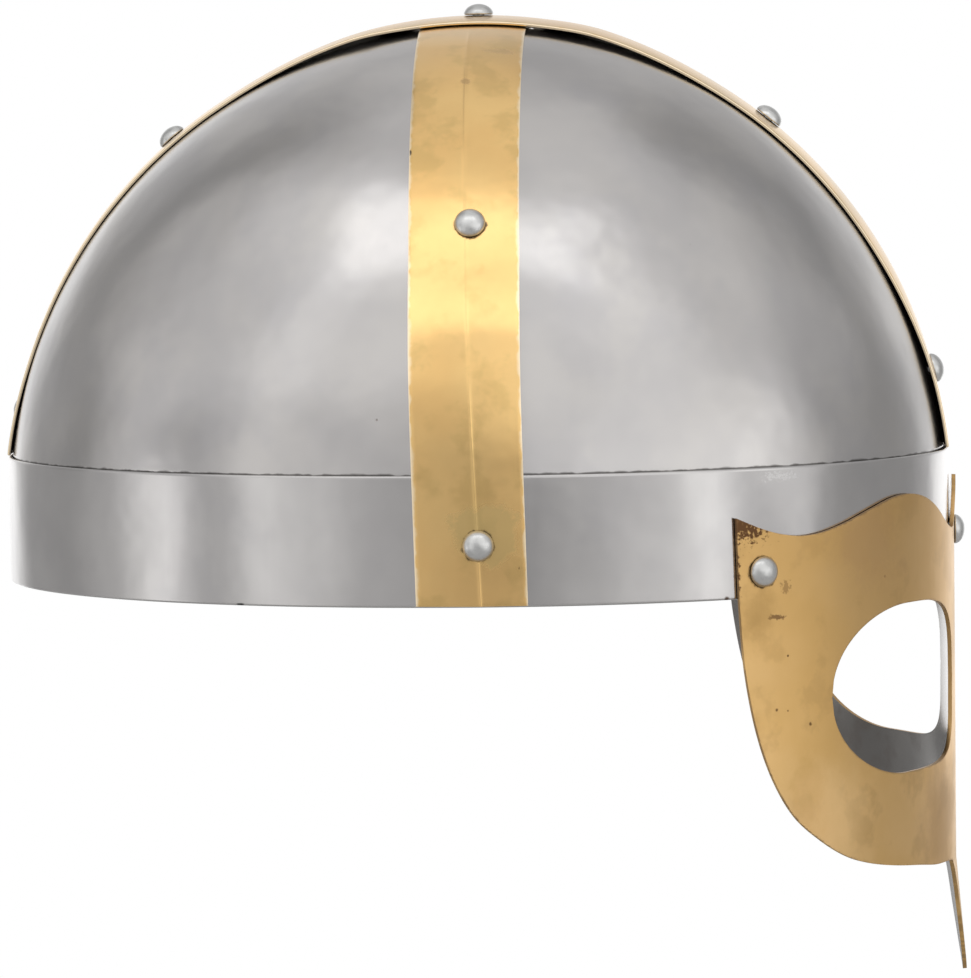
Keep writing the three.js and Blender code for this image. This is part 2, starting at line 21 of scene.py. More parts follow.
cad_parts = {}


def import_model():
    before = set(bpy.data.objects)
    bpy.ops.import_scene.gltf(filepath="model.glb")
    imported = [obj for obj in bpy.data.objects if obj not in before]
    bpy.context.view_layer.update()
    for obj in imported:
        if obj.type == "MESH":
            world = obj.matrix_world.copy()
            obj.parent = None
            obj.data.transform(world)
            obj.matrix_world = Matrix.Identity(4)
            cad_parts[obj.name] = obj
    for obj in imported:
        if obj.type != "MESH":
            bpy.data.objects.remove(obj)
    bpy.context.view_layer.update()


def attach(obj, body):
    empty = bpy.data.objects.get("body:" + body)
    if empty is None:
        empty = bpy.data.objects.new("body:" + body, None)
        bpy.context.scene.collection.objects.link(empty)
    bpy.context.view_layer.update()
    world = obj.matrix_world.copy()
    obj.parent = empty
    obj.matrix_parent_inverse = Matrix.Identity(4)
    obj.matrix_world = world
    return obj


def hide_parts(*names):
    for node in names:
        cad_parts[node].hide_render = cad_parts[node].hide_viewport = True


log = logging.getLogger("helmet")

MM = 0.001
ORIGIN = (0.0, 0.0, 0.0)
ROOT_BODY = "root"

# How the shared effects are scaled against their own size

CLOUD_SHARE = 0.06
SPECK_WOBBLE = 4.0
STAIN_PUSH = 4.0
EDGE_RAG_SCALE = 260.0
EDGE_REACHES = (0.3, 1.5)
SPECK_SIZES = (0.4, 1.6)
SPECK_SPAN = (0.25, 0.75)
NOISE_SPAN = (0.3, 0.7)


class Side(Enum):
    """The wearer's sides, by the sign of y."""

    RIGHT = -1
    LEFT = 1


class End(Enum):
    """The two halves of the helmet's length, by the sign of x."""

    FRONT = 1
    BACK = -1


def smoothstep(value: float, low: float, high: float) -> float:
    """Eased share of the way from low to high.

    Args:
        value: The number to place.
        low: Where the share is 0.
        high: Where the share is 1.

    Returns:
        A number from 0 to 1.
    """
    share = min(1.0, max(0.0, (value - low) / (high - low)))
    return share * share * (3 - 2 * share)


def lerp(start: float, end: float, share: float) -> float:
    """Returns the number that lies a share of the way from start to end."""
    return start + (end - start) * share


# The surfaces that the pieces lie on


@dataclass(frozen=True)
class Spot:
    """A point on a surface with its outward normal."""

    point: Vector
    normal: Vector

    def out(self, distance: float) -> Vector:
        """Returns the point that far out along the normal."""
        return self.point + self.normal * distance


@dataclass(frozen=True)
class HelmetForm:
    """The dome's ellipsoid and the brow band's oval."""

    centre_x: float = 2.0
    dome_front: float = 115.0
    dome_back: float = 118.9
    dome_side: float = 96.2
    dome_centre_z: float = 16.8
    dome_height: float = 119.6
    wall_top_z: float = 31.0
    band_front: float = 115.6
    band_back: float = 119.4
    band_side: float = 97.5
    band_height: float = 30.9

    def dome_length(self, x: float) -> float:
        """Returns the half length of the dome that x lies in."""
        return self.dome_front if x > self.centre_x else self.dome_back

    def band_length(self, x: float) -> float:
        """Returns the half length of the band that x lies in."""
        return self.band_front if x > self.centre_x else self.band_back

    def dome_spot(self, x: float, y: float, z: float) -> Spot:
        """The dome's surface point with its normal.

        Args:
            x: The point's x.
            y: The point's y.
            z: The point's z.

        Returns:
            The point and the outward normal there.
        """
        along = (x - self.centre_x) / self.dome_length(x) ** 2
        rise = (z - self.dome_centre_z) / self.dome_height**2
        return Spot(Vector((x, y, z)), Vector((along, y / self.dome_side**2, rise)).normalized())

    def dome_at_y(self, y: float, angle: float) -> Spot:
        """The dome cut by the plane of one y.

        Args:
            y: The plane's y.
            angle: The angle from the front over the top, in radians.

        Returns:
            The surface point there.
        """
        scale = math.sqrt(1 - (y / self.dome_side) ** 2)
        length = self.dome_front if math.cos(angle) > 0 else self.dome_back
        x = self.centre_x + length * scale * math.cos(angle)
        return self.dome_spot(x, y, self.dome_centre_z + self.dome_height * scale * math.sin(angle))

    def dome_at_x(self, x: float, z: float, side: Side) -> Spot:
        """The dome cut by the plane of one x, by height.

        Args:
            x: The plane's x.
            z: The height.
            side: The wearer's side.

        Returns:
            The surface point there.
        """
        rise = (z - self.dome_centre_z) / self.dome_height
        along = (x - self.centre_x) / self.dome_length(x)
        y = side.value * self.dome_side * math.sqrt(max(0.0, 1 - rise**2 - along**2))
        return self.dome_spot(x, y, z)

    def dome_round(self, x: float, angle: float, side: Side) -> Spot:
        """The dome cut by the plane of one x, by angle.

        Args:
            x: The plane's x.
            angle: The angle up from the side, in radians.
            side: The wearer's side.

        Returns:
            The surface point there.
        """
        scale = math.sqrt(1 - ((x - self.centre_x) / self.dome_length(x)) ** 2)
        y = side.value * self.dome_side * scale * math.cos(angle)
        return self.dome_spot(x, y, self.dome_centre_z + self.dome_height * scale * math.sin(angle))

    def band_at_x(self, x: float, z: float, side: Side) -> Spot:
        """The band's outer face by its place along the helmet.

        Args:
            x: The distance along the helmet.
            z: The height.
            side: The wearer's side.

        Returns:
            The surface point there.
        """
        length = self.band_length(x)
        y = side.value * self.band_side * math.sqrt(1 - ((x - self.centre_x) / length) ** 2)
        normal = Vector(((x - self.centre_x) / length**2, y / self.band_side**2, 0))
        return Spot(Vector((x, y, z)), normal.normalized())

    def band_at_angle(self, angle: float, z: float) -> Spot:
        """The band's outer face by its angle in plan.

        Args:
            angle: The angle from the front, in radians.
            z: The height.

        Returns:
            The surface point there.
        """
        length = self.band_front if math.cos(angle) > 0 else self.band_back
        x = length * math.cos(angle)
        y = self.band_side * math.sin(angle)
        normal = Vector((x / length**2, y / self.band_side**2, 0))
        return Spot(Vector((self.centre_x + x, y, z)), normal.normalized())


# The bench: selecting, editing and finishing meshes


def deselect_all() -> None:
    """Leaves nothing selected."""
    for thing in bpy.context.selected_objects:
        thing.select_set(False)


def make_active(piece: bpy.types.Object) -> None:
    """Selects one object alone and makes it the active one."""
    deselect_all()
    piece.select_set(True)
    bpy.context.view_layer.objects.active = piece


def named(name: str) -> bpy.types.Object:
    """Names the primitive that was just added.

    Args:
        name: The new name of the active object and of its mesh.

    Returns:
        The object.
    """
    piece = bpy.context.view_layer.objects.active
    piece.name = name
    piece.data.name = name
    return piece


@contextmanager
def editing(piece: bpy.types.Object) -> Iterator[None]:
    """Opens a piece in edit mode with all of it selected, and closes it again.

    Args:
        piece: The mesh object to edit.
    """
    make_active(piece)
    bpy.ops.object.mode_set(mode="EDIT")
    bpy.ops.mesh.select_mode(type="VERT")
    bpy.ops.mesh.select_all(action="SELECT")
    try:
        yield
    finally:
        bpy.ops.object.mode_set(mode="OBJECT")


def select_points(piece: bpy.types.Object, test: Callable[[Vector], bool]) -> None:
    """Selects the vertices that pass a test, in edit mode.

    Args:
        piece: The piece that is being edited.
        test: Says of a vertex's place whether it is wanted.
    """
    bpy.ops.mesh.select_all(action="DESELECT")
    mesh = bmesh.from_edit_mesh(piece.data)
    for vertex in mesh.verts:
        if test(vertex.co):
            vertex.select_set(True)
    mesh.select_flush(True)
    bmesh.update_edit_mesh(piece.data)


def scale_points(factors: Sequence[float]) -> None:
    """Scales what is selected in edit mode about the origin."""
    bpy.ops.transform.resize(value=tuple(factors), center_override=(0, 0, 0))


def apply_modifiers(piece: bpy.types.Object) -> None:
    """Applies every modifier of a piece in order."""
    make_active(piece)
    for name in [modifier.name for modifier in piece.modifiers]:
        bpy.ops.object.modifier_apply(modifier=name)


def give_thickness(piece: bpy.types.Object, thickness: float) -> None:
    """Thickens a sheet inwards, its inner side in the second material slot.

    Args:
        piece: A sheet whose faces point outwards.
        thickness: The sheet's thickness in millimetres.
    """
    solid = piece.modifiers.new("thickness", "SOLIDIFY")
    solid.thickness = thickness * MM
    solid.offset = -1
    solid.material_offset = 1
    solid.material_offset_rim = 0


def round_edges(piece: bpy.types.Object, width: float, angle: float = 50, segments: int = 2) -> None:
    """Rounds the sharp edges of a piece.

    Args:
        piece: The piece.
        width: The width of the rounding in millimetres.
        angle: Edges sharper than this many degrees are rounded.
        segments: The number of steps of the rounding.
    """
    bevel = piece.modifiers.new("edges", "BEVEL")
    bevel.width = width * MM
    bevel.segments = segments
    bevel.limit_method = "ANGLE"
    bevel.angle_limit = math.radians(angle)
    bevel.miter_outer = "MITER_ARC"


def shade(piece: bpy.types.Object, angle: float = 35) -> None:
    """Shades a piece smooth except over edges sharper than an angle in degrees."""
    make_active(piece)
    bpy.ops.object.shade_smooth_by_angle(angle=math.radians(angle))


def finish_sheet(piece: bpy.types.Object, looks: Sequence[bpy.types.Material], thickness: float,
                 rounding: float, angle: float = 50, segments: int = 3) -> None:
    """Gives an open sheet its materials, its thickness and its edges.

    Args:
        piece: A sheet whose faces point outwards.
        looks: The material of the outer face with the edges, and that of the inner face.
        thickness: The sheet's thickness in millimetres.
        rounding: The width of its rounded edges in millimetres.
        angle: Edges sharper than this many degrees are rounded.
        segments: The number of steps of the rounding.
    """
    for look in looks:
        piece.data.materials.append(look)
    give_thickness(piece, thickness)
    round_edges(piece, rounding, angle, segments)
    apply_modifiers(piece)
    shade(piece)


def face_outwards(piece: bpy.types.Object, normal_at: Callable[[Vector], Vector]) -> None:
    """Turns an open sheet's faces to its outer side.

    Args:
        piece: The sheet.
        normal_at: Gives the outward direction at a place of the sheet.
    """
    score = sum(face.normal.dot(normal_at(face.center)) * face.area for face in piece.data.polygons)
    if score < 0:
        with editing(piece):
            bpy.ops.mesh.flip_normals()


def store_edge_distance(piece: bpy.types.Object, distances: Sequence[float]) -> None:
    """Keeps each vertex's distance to the sheet's edge, which the edge line of colour follows: painted shade
    on the dome, a painted highlight on the strips.

    Args:
        piece: The sheet.
        distances: One distance in millimetres for each vertex.
    """
    attribute = piece.data.attributes.new("edge_mm", "FLOAT", "POINT")
    attribute.data.foreach_set("value", list(distances))


def seat(piece: bpy.types.Object, node: str) -> None:
    """Fixes a finished piece to the helmet's body in place of its plain solid.

    Args:
        piece: The finished piece.
        node: The CAD node that it stands for.
    """
    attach(piece, ROOT_BODY)
    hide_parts(node)
    log.info("%s stands for %s with %d faces", piece.name, node, len(piece.data.polygons))


# Node helpers


def socket_value(node: bpy.types.Node, name: str, value: object) -> None:
    """Sets an input of a node by name."""
    node.inputs[name].default_value = value


@dataclass
class Wiring:
    """A node tree with short calls to add and join its nodes."""

    tree: bpy.types.NodeTree

    def add(self, kind: str, **settings: object) -> bpy.types.Node:
        """Adds a node.

        Args:
            kind: The node's type name.
            settings: Properties of the node.

        Returns:
            The new node.
        """
        node = self.tree.nodes.new(kind)
        for name, value in settings.items():
            setattr(node, name, value)
        return node

    def join(self, source: object, target: object) -> None:
        """Links an output socket to an input socket."""
        self.tree.links.new(source, target)

    def feed(self, target: object, value: object) -> None:
        """Links a socket to an input, or sets the input to a plain value."""
        if isinstance(value, bpy.types.NodeSocket):
            self.join(value, target)
        else:
            target.default_value = value

    def math(self, operation: str, *values: object, clamp: bool = False) -> bpy.types.NodeSocket:
        """Adds a Math node.

        Args:
            operation: The operation's name.
            values: Up to three sockets or numbers.
            clamp: Whether the result is held between 0 and 1.

        Returns:
            The result's socket.
        """
        node = self.add("ShaderNodeMath", operation=operation, use_clamp=clamp)
        for index, value in enumerate(values):
            self.feed(node.inputs[index], value)
        return node.outputs[0]

    def vector_math(self, operation: str, *values: object) -> bpy.types.NodeSocket:
        """Adds a Vector Math node.

        Args:
            operation: The operation's name.
            values: Sockets or vectors.

        Returns:
            The socket of the resulting vector.
        """
        node = self.add("ShaderNodeVectorMath", operation=operation)
        for index, value in enumerate(values):
            self.feed(node.inputs[index], value)
        return node.outputs["Vector"]

    def noise(self, vector: object, scale: object, detail: float = 2,
              rough: float = 0.5) -> bpy.types.NodeSocket:
        """Adds a noise texture.

        Args:
            vector: The socket of the place.
            scale: How fine it is.
            detail: How many finer layers it has.
            rough: How strong the finer layers are.

        Returns:
            The value's socket.
        """
        node = self.add("ShaderNodeTexNoise")
        self.feed(node.inputs["Vector"], vector)
        self.feed(node.inputs["Scale"], scale)
        socket_value(node, "Detail", detail)
        socket_value(node, "Roughness", rough)
        return node.outputs["Fac"]

    def ramp(self, value: object, low: object, high: object, out_low: object = 0.0,
             out_high: object = 1.0) -> bpy.types.NodeSocket:
        """Adds an eased Map Range node.

        Args:
            value: The number to place.
            low: Where the result is out_low.
            high: Where the result is out_high.
            out_low: The first result.
            out_high: The last result.

        Returns:
            The result's socket.
        """
        node = self.add("ShaderNodeMapRange", interpolation_type="SMOOTHSTEP")
        for name, part in (("Value", value), ("From Min", low), ("From Max", high), ("To Min", out_low),
                           ("To Max", out_high)):
            self.feed(node.inputs[name], part)
        return node.outputs["Result"]

    def mix_colour(self, share: object, first: object, second: object,
                   blend: str = "MIX") -> bpy.types.NodeSocket:
        """Mixes two colours.

        Args:
            share: How much of the second colour is taken.
            first: The first colour.
            second: The second colour.
            blend: The way of mixing.

        Returns:
            The mixed colour's socket.
        """
        node = self.add("ShaderNodeMix", data_type="RGBA", blend_type=blend)
        self.feed(node.inputs[0], share)
        self.feed(node.inputs[6], first)
        self.feed(node.inputs[7], second)
        return node.outputs[2]

    def group(self, tree: bpy.types.NodeTree, **values: object) -> bpy.types.Node:
        """Places a node group.

        Args:
            tree: The group.
            values: Its inputs, with underscores for the spaces in their names.

        Returns:
            The group's node.
        """
        node = self.add("ShaderNodeGroup", node_tree=tree)
        for name, value in values.items():
            self.feed(node.inputs[name.replace("_", " ")], value)
        return node


def new_group(name: str, inputs: dict[str, object],
              outputs: Sequence[str]) -> tuple[Wiring, bpy.types.Node, bpy.types.Node]:
    """Starts a shader node group, which takes a place to work at as its first input.

    Args:
        name: The group's name.
        inputs: The further inputs with their defaults, each a number or a vector.
        outputs: The names of its outputs, which are numbers.

    Returns:
        The wiring, the group's input node and its output node.
    """
    tree = bpy.data.node_groups.new(name, "ShaderNodeTree")
    for title, default in {"Vector": ORIGIN, **inputs}.items():
        kind = "NodeSocketVector" if isinstance(default, tuple) else "NodeSocketFloat"
        tree.interface.new_socket(name=title, in_out="INPUT", socket_type=kind).default_value = default
    for title in outputs:
        tree.interface.new_socket(name=title, in_out="OUTPUT", socket_type="NodeSocketFloat")
    return Wiring(tree), tree.nodes.new("NodeGroupInput"), tree.nodes.new("NodeGroupOutput")


class SheetEffects:
    """The effects that the metals share, each a node group that is built once."""

    def __init__(self) -> None:
        """Builds the groups."""
        self.waviness = self._waviness()
        self.grain = self._grain()
        self.specks = self._specks()
        self.colour_mark = self._colour_mark()
        self.edge_wear = self._edge_wear()

    def _waviness(self) -> bpy.types.NodeTree:
        """Returns the soft unevenness of sheet metal shaped by hand, as a height."""
        wiring, start, end = new_group(
            "sheet_waviness",
            {"Broad Scale": 14.0, "Broad Depth": 1.0, "Fine Scale": 70.0, "Fine Depth": 0.1}, ["Height"])
        broad = wiring.noise(start.outputs["Vector"], start.outputs["Broad Scale"], detail=1)
        fine = wiring.noise(start.outputs["Vector"], start.outputs["Fine Scale"], detail=2)
        total = wiring.math("MULTIPLY_ADD", fine, start.outputs["Fine Depth"],
                            wiring.math("MULTIPLY", broad, start.outputs["Broad Depth"]))
        wiring.join(total, end.inputs["Height"])
        return wiring.tree

    def _grain(self) -> bpy.types.NodeTree:
        """Returns fine polishing marks, stretched along one direction."""
        wiring, start, end = new_group(
            "polish_grain", {"Stretch": (1.0, 1.0, 0.05), "Scale": 900.0}, ["Lines", "Cloud"])
        stretched = wiring.vector_math("MULTIPLY", start.outputs["Vector"], start.outputs["Stretch"])
        lines = wiring.noise(stretched, start.outputs["Scale"], detail=3, rough=0.7)
        cloud_scale = wiring.math("MULTIPLY", start.outputs["Scale"], CLOUD_SHARE)
        cloud = wiring.noise(start.outputs["Vector"], cloud_scale, detail=3)
        wiring.join(lines, end.inputs["Lines"])
        wiring.join(cloud, end.inputs["Cloud"])
        return wiring.tree

    def _specks(self) -> bpy.types.NodeTree:
        """Returns a mask of small scattered spots."""
        wiring, start, end = new_group(
            "scattered_specks", {"Scale": 60.0, "Size": 0.1, "Share": 0.3}, ["Mask"])
        cells = wiring.add("ShaderNodeTexVoronoi", feature="F1")
        wobble_scale = wiring.math("MULTIPLY", start.outputs["Scale"], SPECK_WOBBLE)
        wobble = wiring.noise(start.outputs["Vector"], wobble_scale)
        wiring.join(start.outputs["Vector"], cells.inputs["Vector"])
        wiring.join(start.outputs["Scale"], cells.inputs["Scale"])
        reach = wiring.math("MULTIPLY", start.outputs["Size"], wiring.ramp(wobble, *SPECK_SPAN, *SPECK_SIZES))
        spot = wiring.ramp(cells.outputs["Distance"], reach, 0.0)
        parts = wiring.add("ShaderNodeSeparateColor")
        wiring.join(cells.outputs["Color"], parts.inputs[0])
        chosen = wiring.math("LESS_THAN", parts.outputs[0], start.outputs["Share"])
        wiring.join(wiring.math("MULTIPLY", spot, chosen), end.inputs["Mask"])
        return wiring.tree

    def _colour_mark(self) -> bpy.types.NodeTree:
        """Returns the mask of one ragged patch around a point, used for real stains and for painted shade and
        highlights.
        """
        wiring, start, end = new_group(
            "ragged_stain",
            {"Centre": ORIGIN, "Radius": 0.01, "Stretch": (1.0, 1.0, 1.0), "Softness": 0.65, "Ragged": 0.6,
             "Scale": 180.0}, ["Mask"])
        offset = wiring.vector_math("SUBTRACT", start.outputs["Vector"], start.outputs["Centre"])
        length = wiring.add("ShaderNodeVectorMath", operation="LENGTH")
        wiring.join(wiring.vector_math("MULTIPLY", offset, start.outputs["Stretch"]), length.inputs[0])
        near = wiring.math("DIVIDE", length.outputs["Value"], start.outputs["Radius"])
        rag = wiring.noise(start.outputs["Vector"], start.outputs["Scale"], detail=5, rough=0.65)
        push = wiring.math("MULTIPLY", wiring.math("SUBTRACT", rag, 0.5), start.outputs["Ragged"])
        full = wiring.math("SUBTRACT", 1.0, start.outputs["Softness"])
        ragged = wiring.math("MULTIPLY_ADD", push, STAIN_PUSH, near)
        wiring.join(wiring.ramp(ragged, 1.0, full), end.inputs["Mask"])
        return wiring.tree

    def _edge_wear(self) -> bpy.types.NodeTree:
        """Returns a mask along the sheet's edges, from the distances kept on the vertices; it carries the
        dome's painted shade above the band, the strips' painted highlight and the guard's darker brown edges.
        """
        wiring, start, end = new_group("edge_wear", {"Width": 1.5}, ["Mask"])
        rim = wiring.add("ShaderNodeAttribute", attribute_name="edge_mm")
        rag = wiring.noise(start.outputs["Vector"], EDGE_RAG_SCALE, detail=4)
        reach = wiring.math("MULTIPLY", start.outputs["Width"], wiring.ramp(rag, *NOISE_SPAN, *EDGE_REACHES))
        wiring.join(wiring.ramp(rim.outputs["Fac"], reach, 0.0), end.inputs["Mask"])
        return wiring.tree


# Finishes


@dataclass(frozen=True)
class ColourMark:
    """A patch of colour, used for real stains and for painted shade and highlights: its place in millimetres,
    its reach, its colour and how strong it is.
    """

    centre: tuple[float, float, float]
    radius: float
    strength: float
    colour: tuple[float, float, float] = (0.09, 0.045, 0.02)
    stretch: tuple[float, float, float] = (1.0, 1.0, 1.0)
    softness: float = 0.65
    ragged: float = 0.6
    scale: float = 180.0


@dataclass(frozen=True)
class MetalFinish:
    """A sheet metal's look."""

    name: str
    colour: tuple[float, float, float]
    cloud_colour: tuple[float, float, float]
    patina_colour: tuple[float, float, float]
    roughness: float
    patina: float = 0.0
    patina_scale: float = 90.0
    roughness_spread: float = 0.05
    grain_stretch: tuple[float, float, float] = (1.0, 1.0, 0.08)
    grain_scale: float = 700.0
    grain_depth: float = 0.0004
    broad_scale: float = 18.0
    broad_depth: float = 2.2
    fine_scale: float = 55.0
    fine_depth: float = 0.2
    speck_colour: tuple[float, float, float] = (0.12, 0.1, 0.08)
    speck_scale: float = 45.0
    speck_size: float = 0.016
    speck_share: float = 0.1
    speck_strength: float = 0.8
    edge_width: float = 0.5
    edge_strength: float = 0.0
    edge_colour: tuple[float, float, float] = (0.04, 0.035, 0.03)
    coat: float = 0.0
    top_tarnish_and_shade: float = 0.0
    top_tarnish_and_shade_z: tuple[float, float] = (-45.0, 25.0)
    patina_range: tuple[float, float] = (0.5, 0.62)
    mark_roughness: float = 0.3
    mark_depth: float = 0.02
    colour_marks: tuple[ColourMark, ...] = ()

    def material(self, effects: SheetEffects, marks: Sequence[ColourMark] = ()) -> bpy.types.Material:
        """Builds the material.

        Args:
            effects: The shared effects.
            marks: Further patches, as the painted shadow rings around the rivets.

        Returns:
            The new material.
        """
        made = bpy.data.materials.new(self.name)
        made.use_nodes = True
        wiring = Wiring(made.node_tree)
        shader = made.node_tree.nodes["Principled BSDF"]
        place = wiring.add("ShaderNodeTexCoord").outputs["Object"]
        grain = wiring.group(effects.grain, Vector=place, Stretch=self.grain_stretch, Scale=self.grain_scale)
        cloud = wiring.ramp(grain.outputs["Cloud"], *NOISE_SPAN)
        colour = wiring.mix_colour(cloud, (*self.colour, 1), (*self.cloud_colour, 1))
        if self.patina:
            spread = wiring.noise(place, self.patina_scale, detail=4, rough=0.6)
            patch = wiring.math("MULTIPLY", wiring.ramp(spread, *self.patina_range), self.patina)
            colour = wiring.mix_colour(patch, colour, (*self.patina_colour, 1))
        # Darker towards the top in the patina's colour: partly tarnish, partly painted shade.
        if self.top_tarnish_and_shade:
            parts = wiring.add("ShaderNodeSeparateXYZ")
            wiring.join(place, parts.inputs[0])
            low, top = self.top_tarnish_and_shade_z
            high = wiring.ramp(parts.outputs[2], low * MM, top * MM, 0.0, self.top_tarnish_and_shade)
            colour = wiring.mix_colour(high, colour, (*self.patina_colour, 1))
        colour, dirt_and_painted_light = self._marked(wiring, effects, place, colour, (*self.colour_marks, *marks))
        # Edge line of colour: painted shade on the dome, a painted highlight on the strips, darker brown on
        # the guard.
        if self.edge_strength:
            edge = wiring.group(effects.edge_wear, Vector=place, Width=self.edge_width).outputs["Mask"]
            edge = wiring.math("MULTIPLY", edge, self.edge_strength)
            colour = wiring.mix_colour(edge, colour, (*self.edge_colour, 1))
        wiring.join(colour, shader.inputs["Base Color"])
        socket_value(shader, "Metallic", 1.0)
        if self.coat:
            socket_value(shader, "Coat Weight", self.coat)
            socket_value(shader, "Coat Roughness", self.roughness)
        rough = wiring.math("MULTIPLY_ADD", grain.outputs["Lines"], self.roughness_spread,
                            self.roughness - self.roughness_spread / 2)
        rough = wiring.math("MULTIPLY_ADD", cloud, self.roughness_spread / 2, rough)
        rough = wiring.math("MULTIPLY_ADD", dirt_and_painted_light, self.mark_roughness, rough, clamp=True)
        wiring.join(rough, shader.inputs["Roughness"])
        self._relief(wiring, effects, place, grain.outputs["Lines"], dirt_and_painted_light, shader)
        return made

    def _marked(self, wiring: Wiring, effects: SheetEffects, place: bpy.types.NodeSocket,
                colour: bpy.types.NodeSocket, colour_marks: Sequence[ColourMark]) -> tuple[object, object]:
        """Lays specks, stains and patches of painted shade and highlight over a colour.

        Args:
            wiring: The material's node tree.
            effects: The shared effects.
            place: The object coordinates.
            colour: The clean colour.
            colour_marks: The stains and the patches of painted shade and highlight.

        Returns:
            The marked colour and the mask of all the marks, real dirt and painted light together.
        """
        specks = wiring.group(effects.specks, Vector=place, Scale=self.speck_scale, Size=self.speck_size,
                              Share=self.speck_share).outputs["Mask"]
        dirt_and_painted_light = wiring.math("MULTIPLY", specks, self.speck_strength)
        colour = wiring.mix_colour(dirt_and_painted_light, colour, (*self.speck_colour, 1))
        for colour_mark in colour_marks:
            mask = wiring.group(effects.colour_mark, Vector=place, Centre=[c * MM for c in colour_mark.centre],
                                Radius=colour_mark.radius * MM, Stretch=colour_mark.stretch, Softness=colour_mark.softness,
                                Ragged=colour_mark.ragged, Scale=colour_mark.scale).outputs["Mask"]
            mask = wiring.math("MULTIPLY", mask, colour_mark.strength)
            colour = wiring.mix_colour(mask, colour, (*colour_mark.colour, 1))
            dirt_and_painted_light = wiring.math("ADD", dirt_and_painted_light, mask, clamp=True)
        return colour, dirt_and_painted_light

    def _relief(self, wiring: Wiring, effects: SheetEffects, place: bpy.types.NodeSocket,
                lines: bpy.types.NodeSocket, dirt_and_painted_light: bpy.types.NodeSocket, shader: bpy.types.Node) -> None:
        """Gives the surface its unevenness.

        Args:
            wiring: The material's node tree.
            effects: The shared effects.
            place: The object coordinates.
            lines: The polishing marks.
            dirt_and_painted_light: The mask of all the marks, real dirt and painted light together, which
                lies a little deeper.
            shader: The material's shader.
        """
        height = wiring.group(effects.waviness, Vector=place, Broad_Scale=self.broad_scale,
                              Broad_Depth=self.broad_depth, Fine_Scale=self.fine_scale,
                              Fine_Depth=self.fine_depth).outputs["Height"]
        height = wiring.math("MULTIPLY_ADD", lines, self.grain_depth, height)
        height = wiring.math("MULTIPLY_ADD", dirt_and_painted_light, -self.mark_depth, height)
        bump = wiring.add("ShaderNodeBump")
        socket_value(bump, "Strength", 1.0)
        socket_value(bump, "Distance", MM)
        wiring.join(height, bump.inputs["Height"])
        wiring.join(bump.outputs["Normal"], shader.inputs["Normal"])


STEEL = MetalFinish(
    name="dome_steel", colour=(0.55, 0.53, 0.515), cloud_colour=(0.5, 0.485, 0.48),
    patina_colour=(0.46, 0.45, 0.46), patina=0.3, patina_scale=30.0, roughness=0.2, broad_depth=4.0,
    # dark edge line just above the band: painted shade where the dome goes into the band
    fine_depth=0.32, edge_width=0.5, edge_strength=0.9, colour_marks=(
        ColourMark((-17.8, -92.3, 43.8), 0.5, 0.9, softness=0.9, ragged=0.2),
        ColourMark((55.3, -66.4, 83.3), 0.35, 0.8, softness=0.9, ragged=0.2)))
BAND_STEEL = MetalFinish(
    name="band_steel", colour=(0.55, 0.535, 0.525), cloud_colour=(0.5, 0.485, 0.48),
    patina_colour=(0.47, 0.46, 0.46), patina=0.3, patina_scale=40.0, roughness=0.17, colour_marks=(
        ColourMark((76.8, -74.5, 28.8), 3.2, 0.3, (0.8, 0.79, 0.78), (0.6, 0.6, 2.6), 0.8, 1.2, 1300.0),
        ColourMark((63.5, -82.5, 0.3), 0.8, 0.9, softness=0.8, ragged=0.3),
        ColourMark((-51.2, -87.3, 0.3), 1.6, 0.9, (0.03, 0.03, 0.03), (1.0, 1.0, 4.0), 0.5, 0.3)))
STEEL_INSIDE = MetalFinish(
    name="inner_steel", colour=(0.3, 0.29, 0.28), cloud_colour=(0.2, 0.19, 0.18),
    patina_colour=(0.13, 0.1, 0.08), patina=0.6, roughness=0.42, roughness_spread=0.15)
RIVET_STEEL = MetalFinish(
    name="rivet_steel", colour=(0.66, 0.66, 0.65), cloud_colour=(0.58, 0.58, 0.57),
    patina_colour=(0.4, 0.4, 0.4), patina=0.25, patina_scale=500.0, roughness=0.3, broad_scale=220.0,
    broad_depth=0.06, fine_scale=900.0, fine_depth=0.02, speck_share=0.0)
STRIP_BRASS = MetalFinish(
    name="strip_brass", colour=(0.86, 0.57, 0.23), cloud_colour=(0.82, 0.52, 0.2),
    patina_colour=(0.62, 0.42, 0.15), patina=0.45, patina_scale=60.0, roughness=0.22, coat=0.4,
    broad_scale=26.0, broad_depth=1.2, fine_scale=80.0, fine_depth=0.18, speck_colour=(0.25, 0.14, 0.05),
    # pale cream along the edges: a painted highlight
    edge_width=0.8, edge_strength=0.8, edge_colour=(0.98, 0.84, 0.62), colour_marks=(
        ColourMark((7.0, -98.9, 17.5), 9.0, 0.5, (0.42, 0.33, 0.14), (1.0, 0.4, 1.1), 0.35, 0.5, 120.0),
        ColourMark((15.4, -98.3, 9.3), 0.6, 0.8),
        ColourMark((8.8, -34.1, 129.9), 3.2, 0.35, (0.4, 0.29, 0.16), (0.7, 1.0, 2.2)),
        ColourMark((1.1, -47.6, 122.5), 1.2, 0.5, (0.4, 0.26, 0.12)),
        ColourMark((-11.4, -65.0, 106.1), 1.2, 1.0, (0.05, 0.03, 0.02), (1.6, 1.0, 0.8), 0.4, 0.2)))
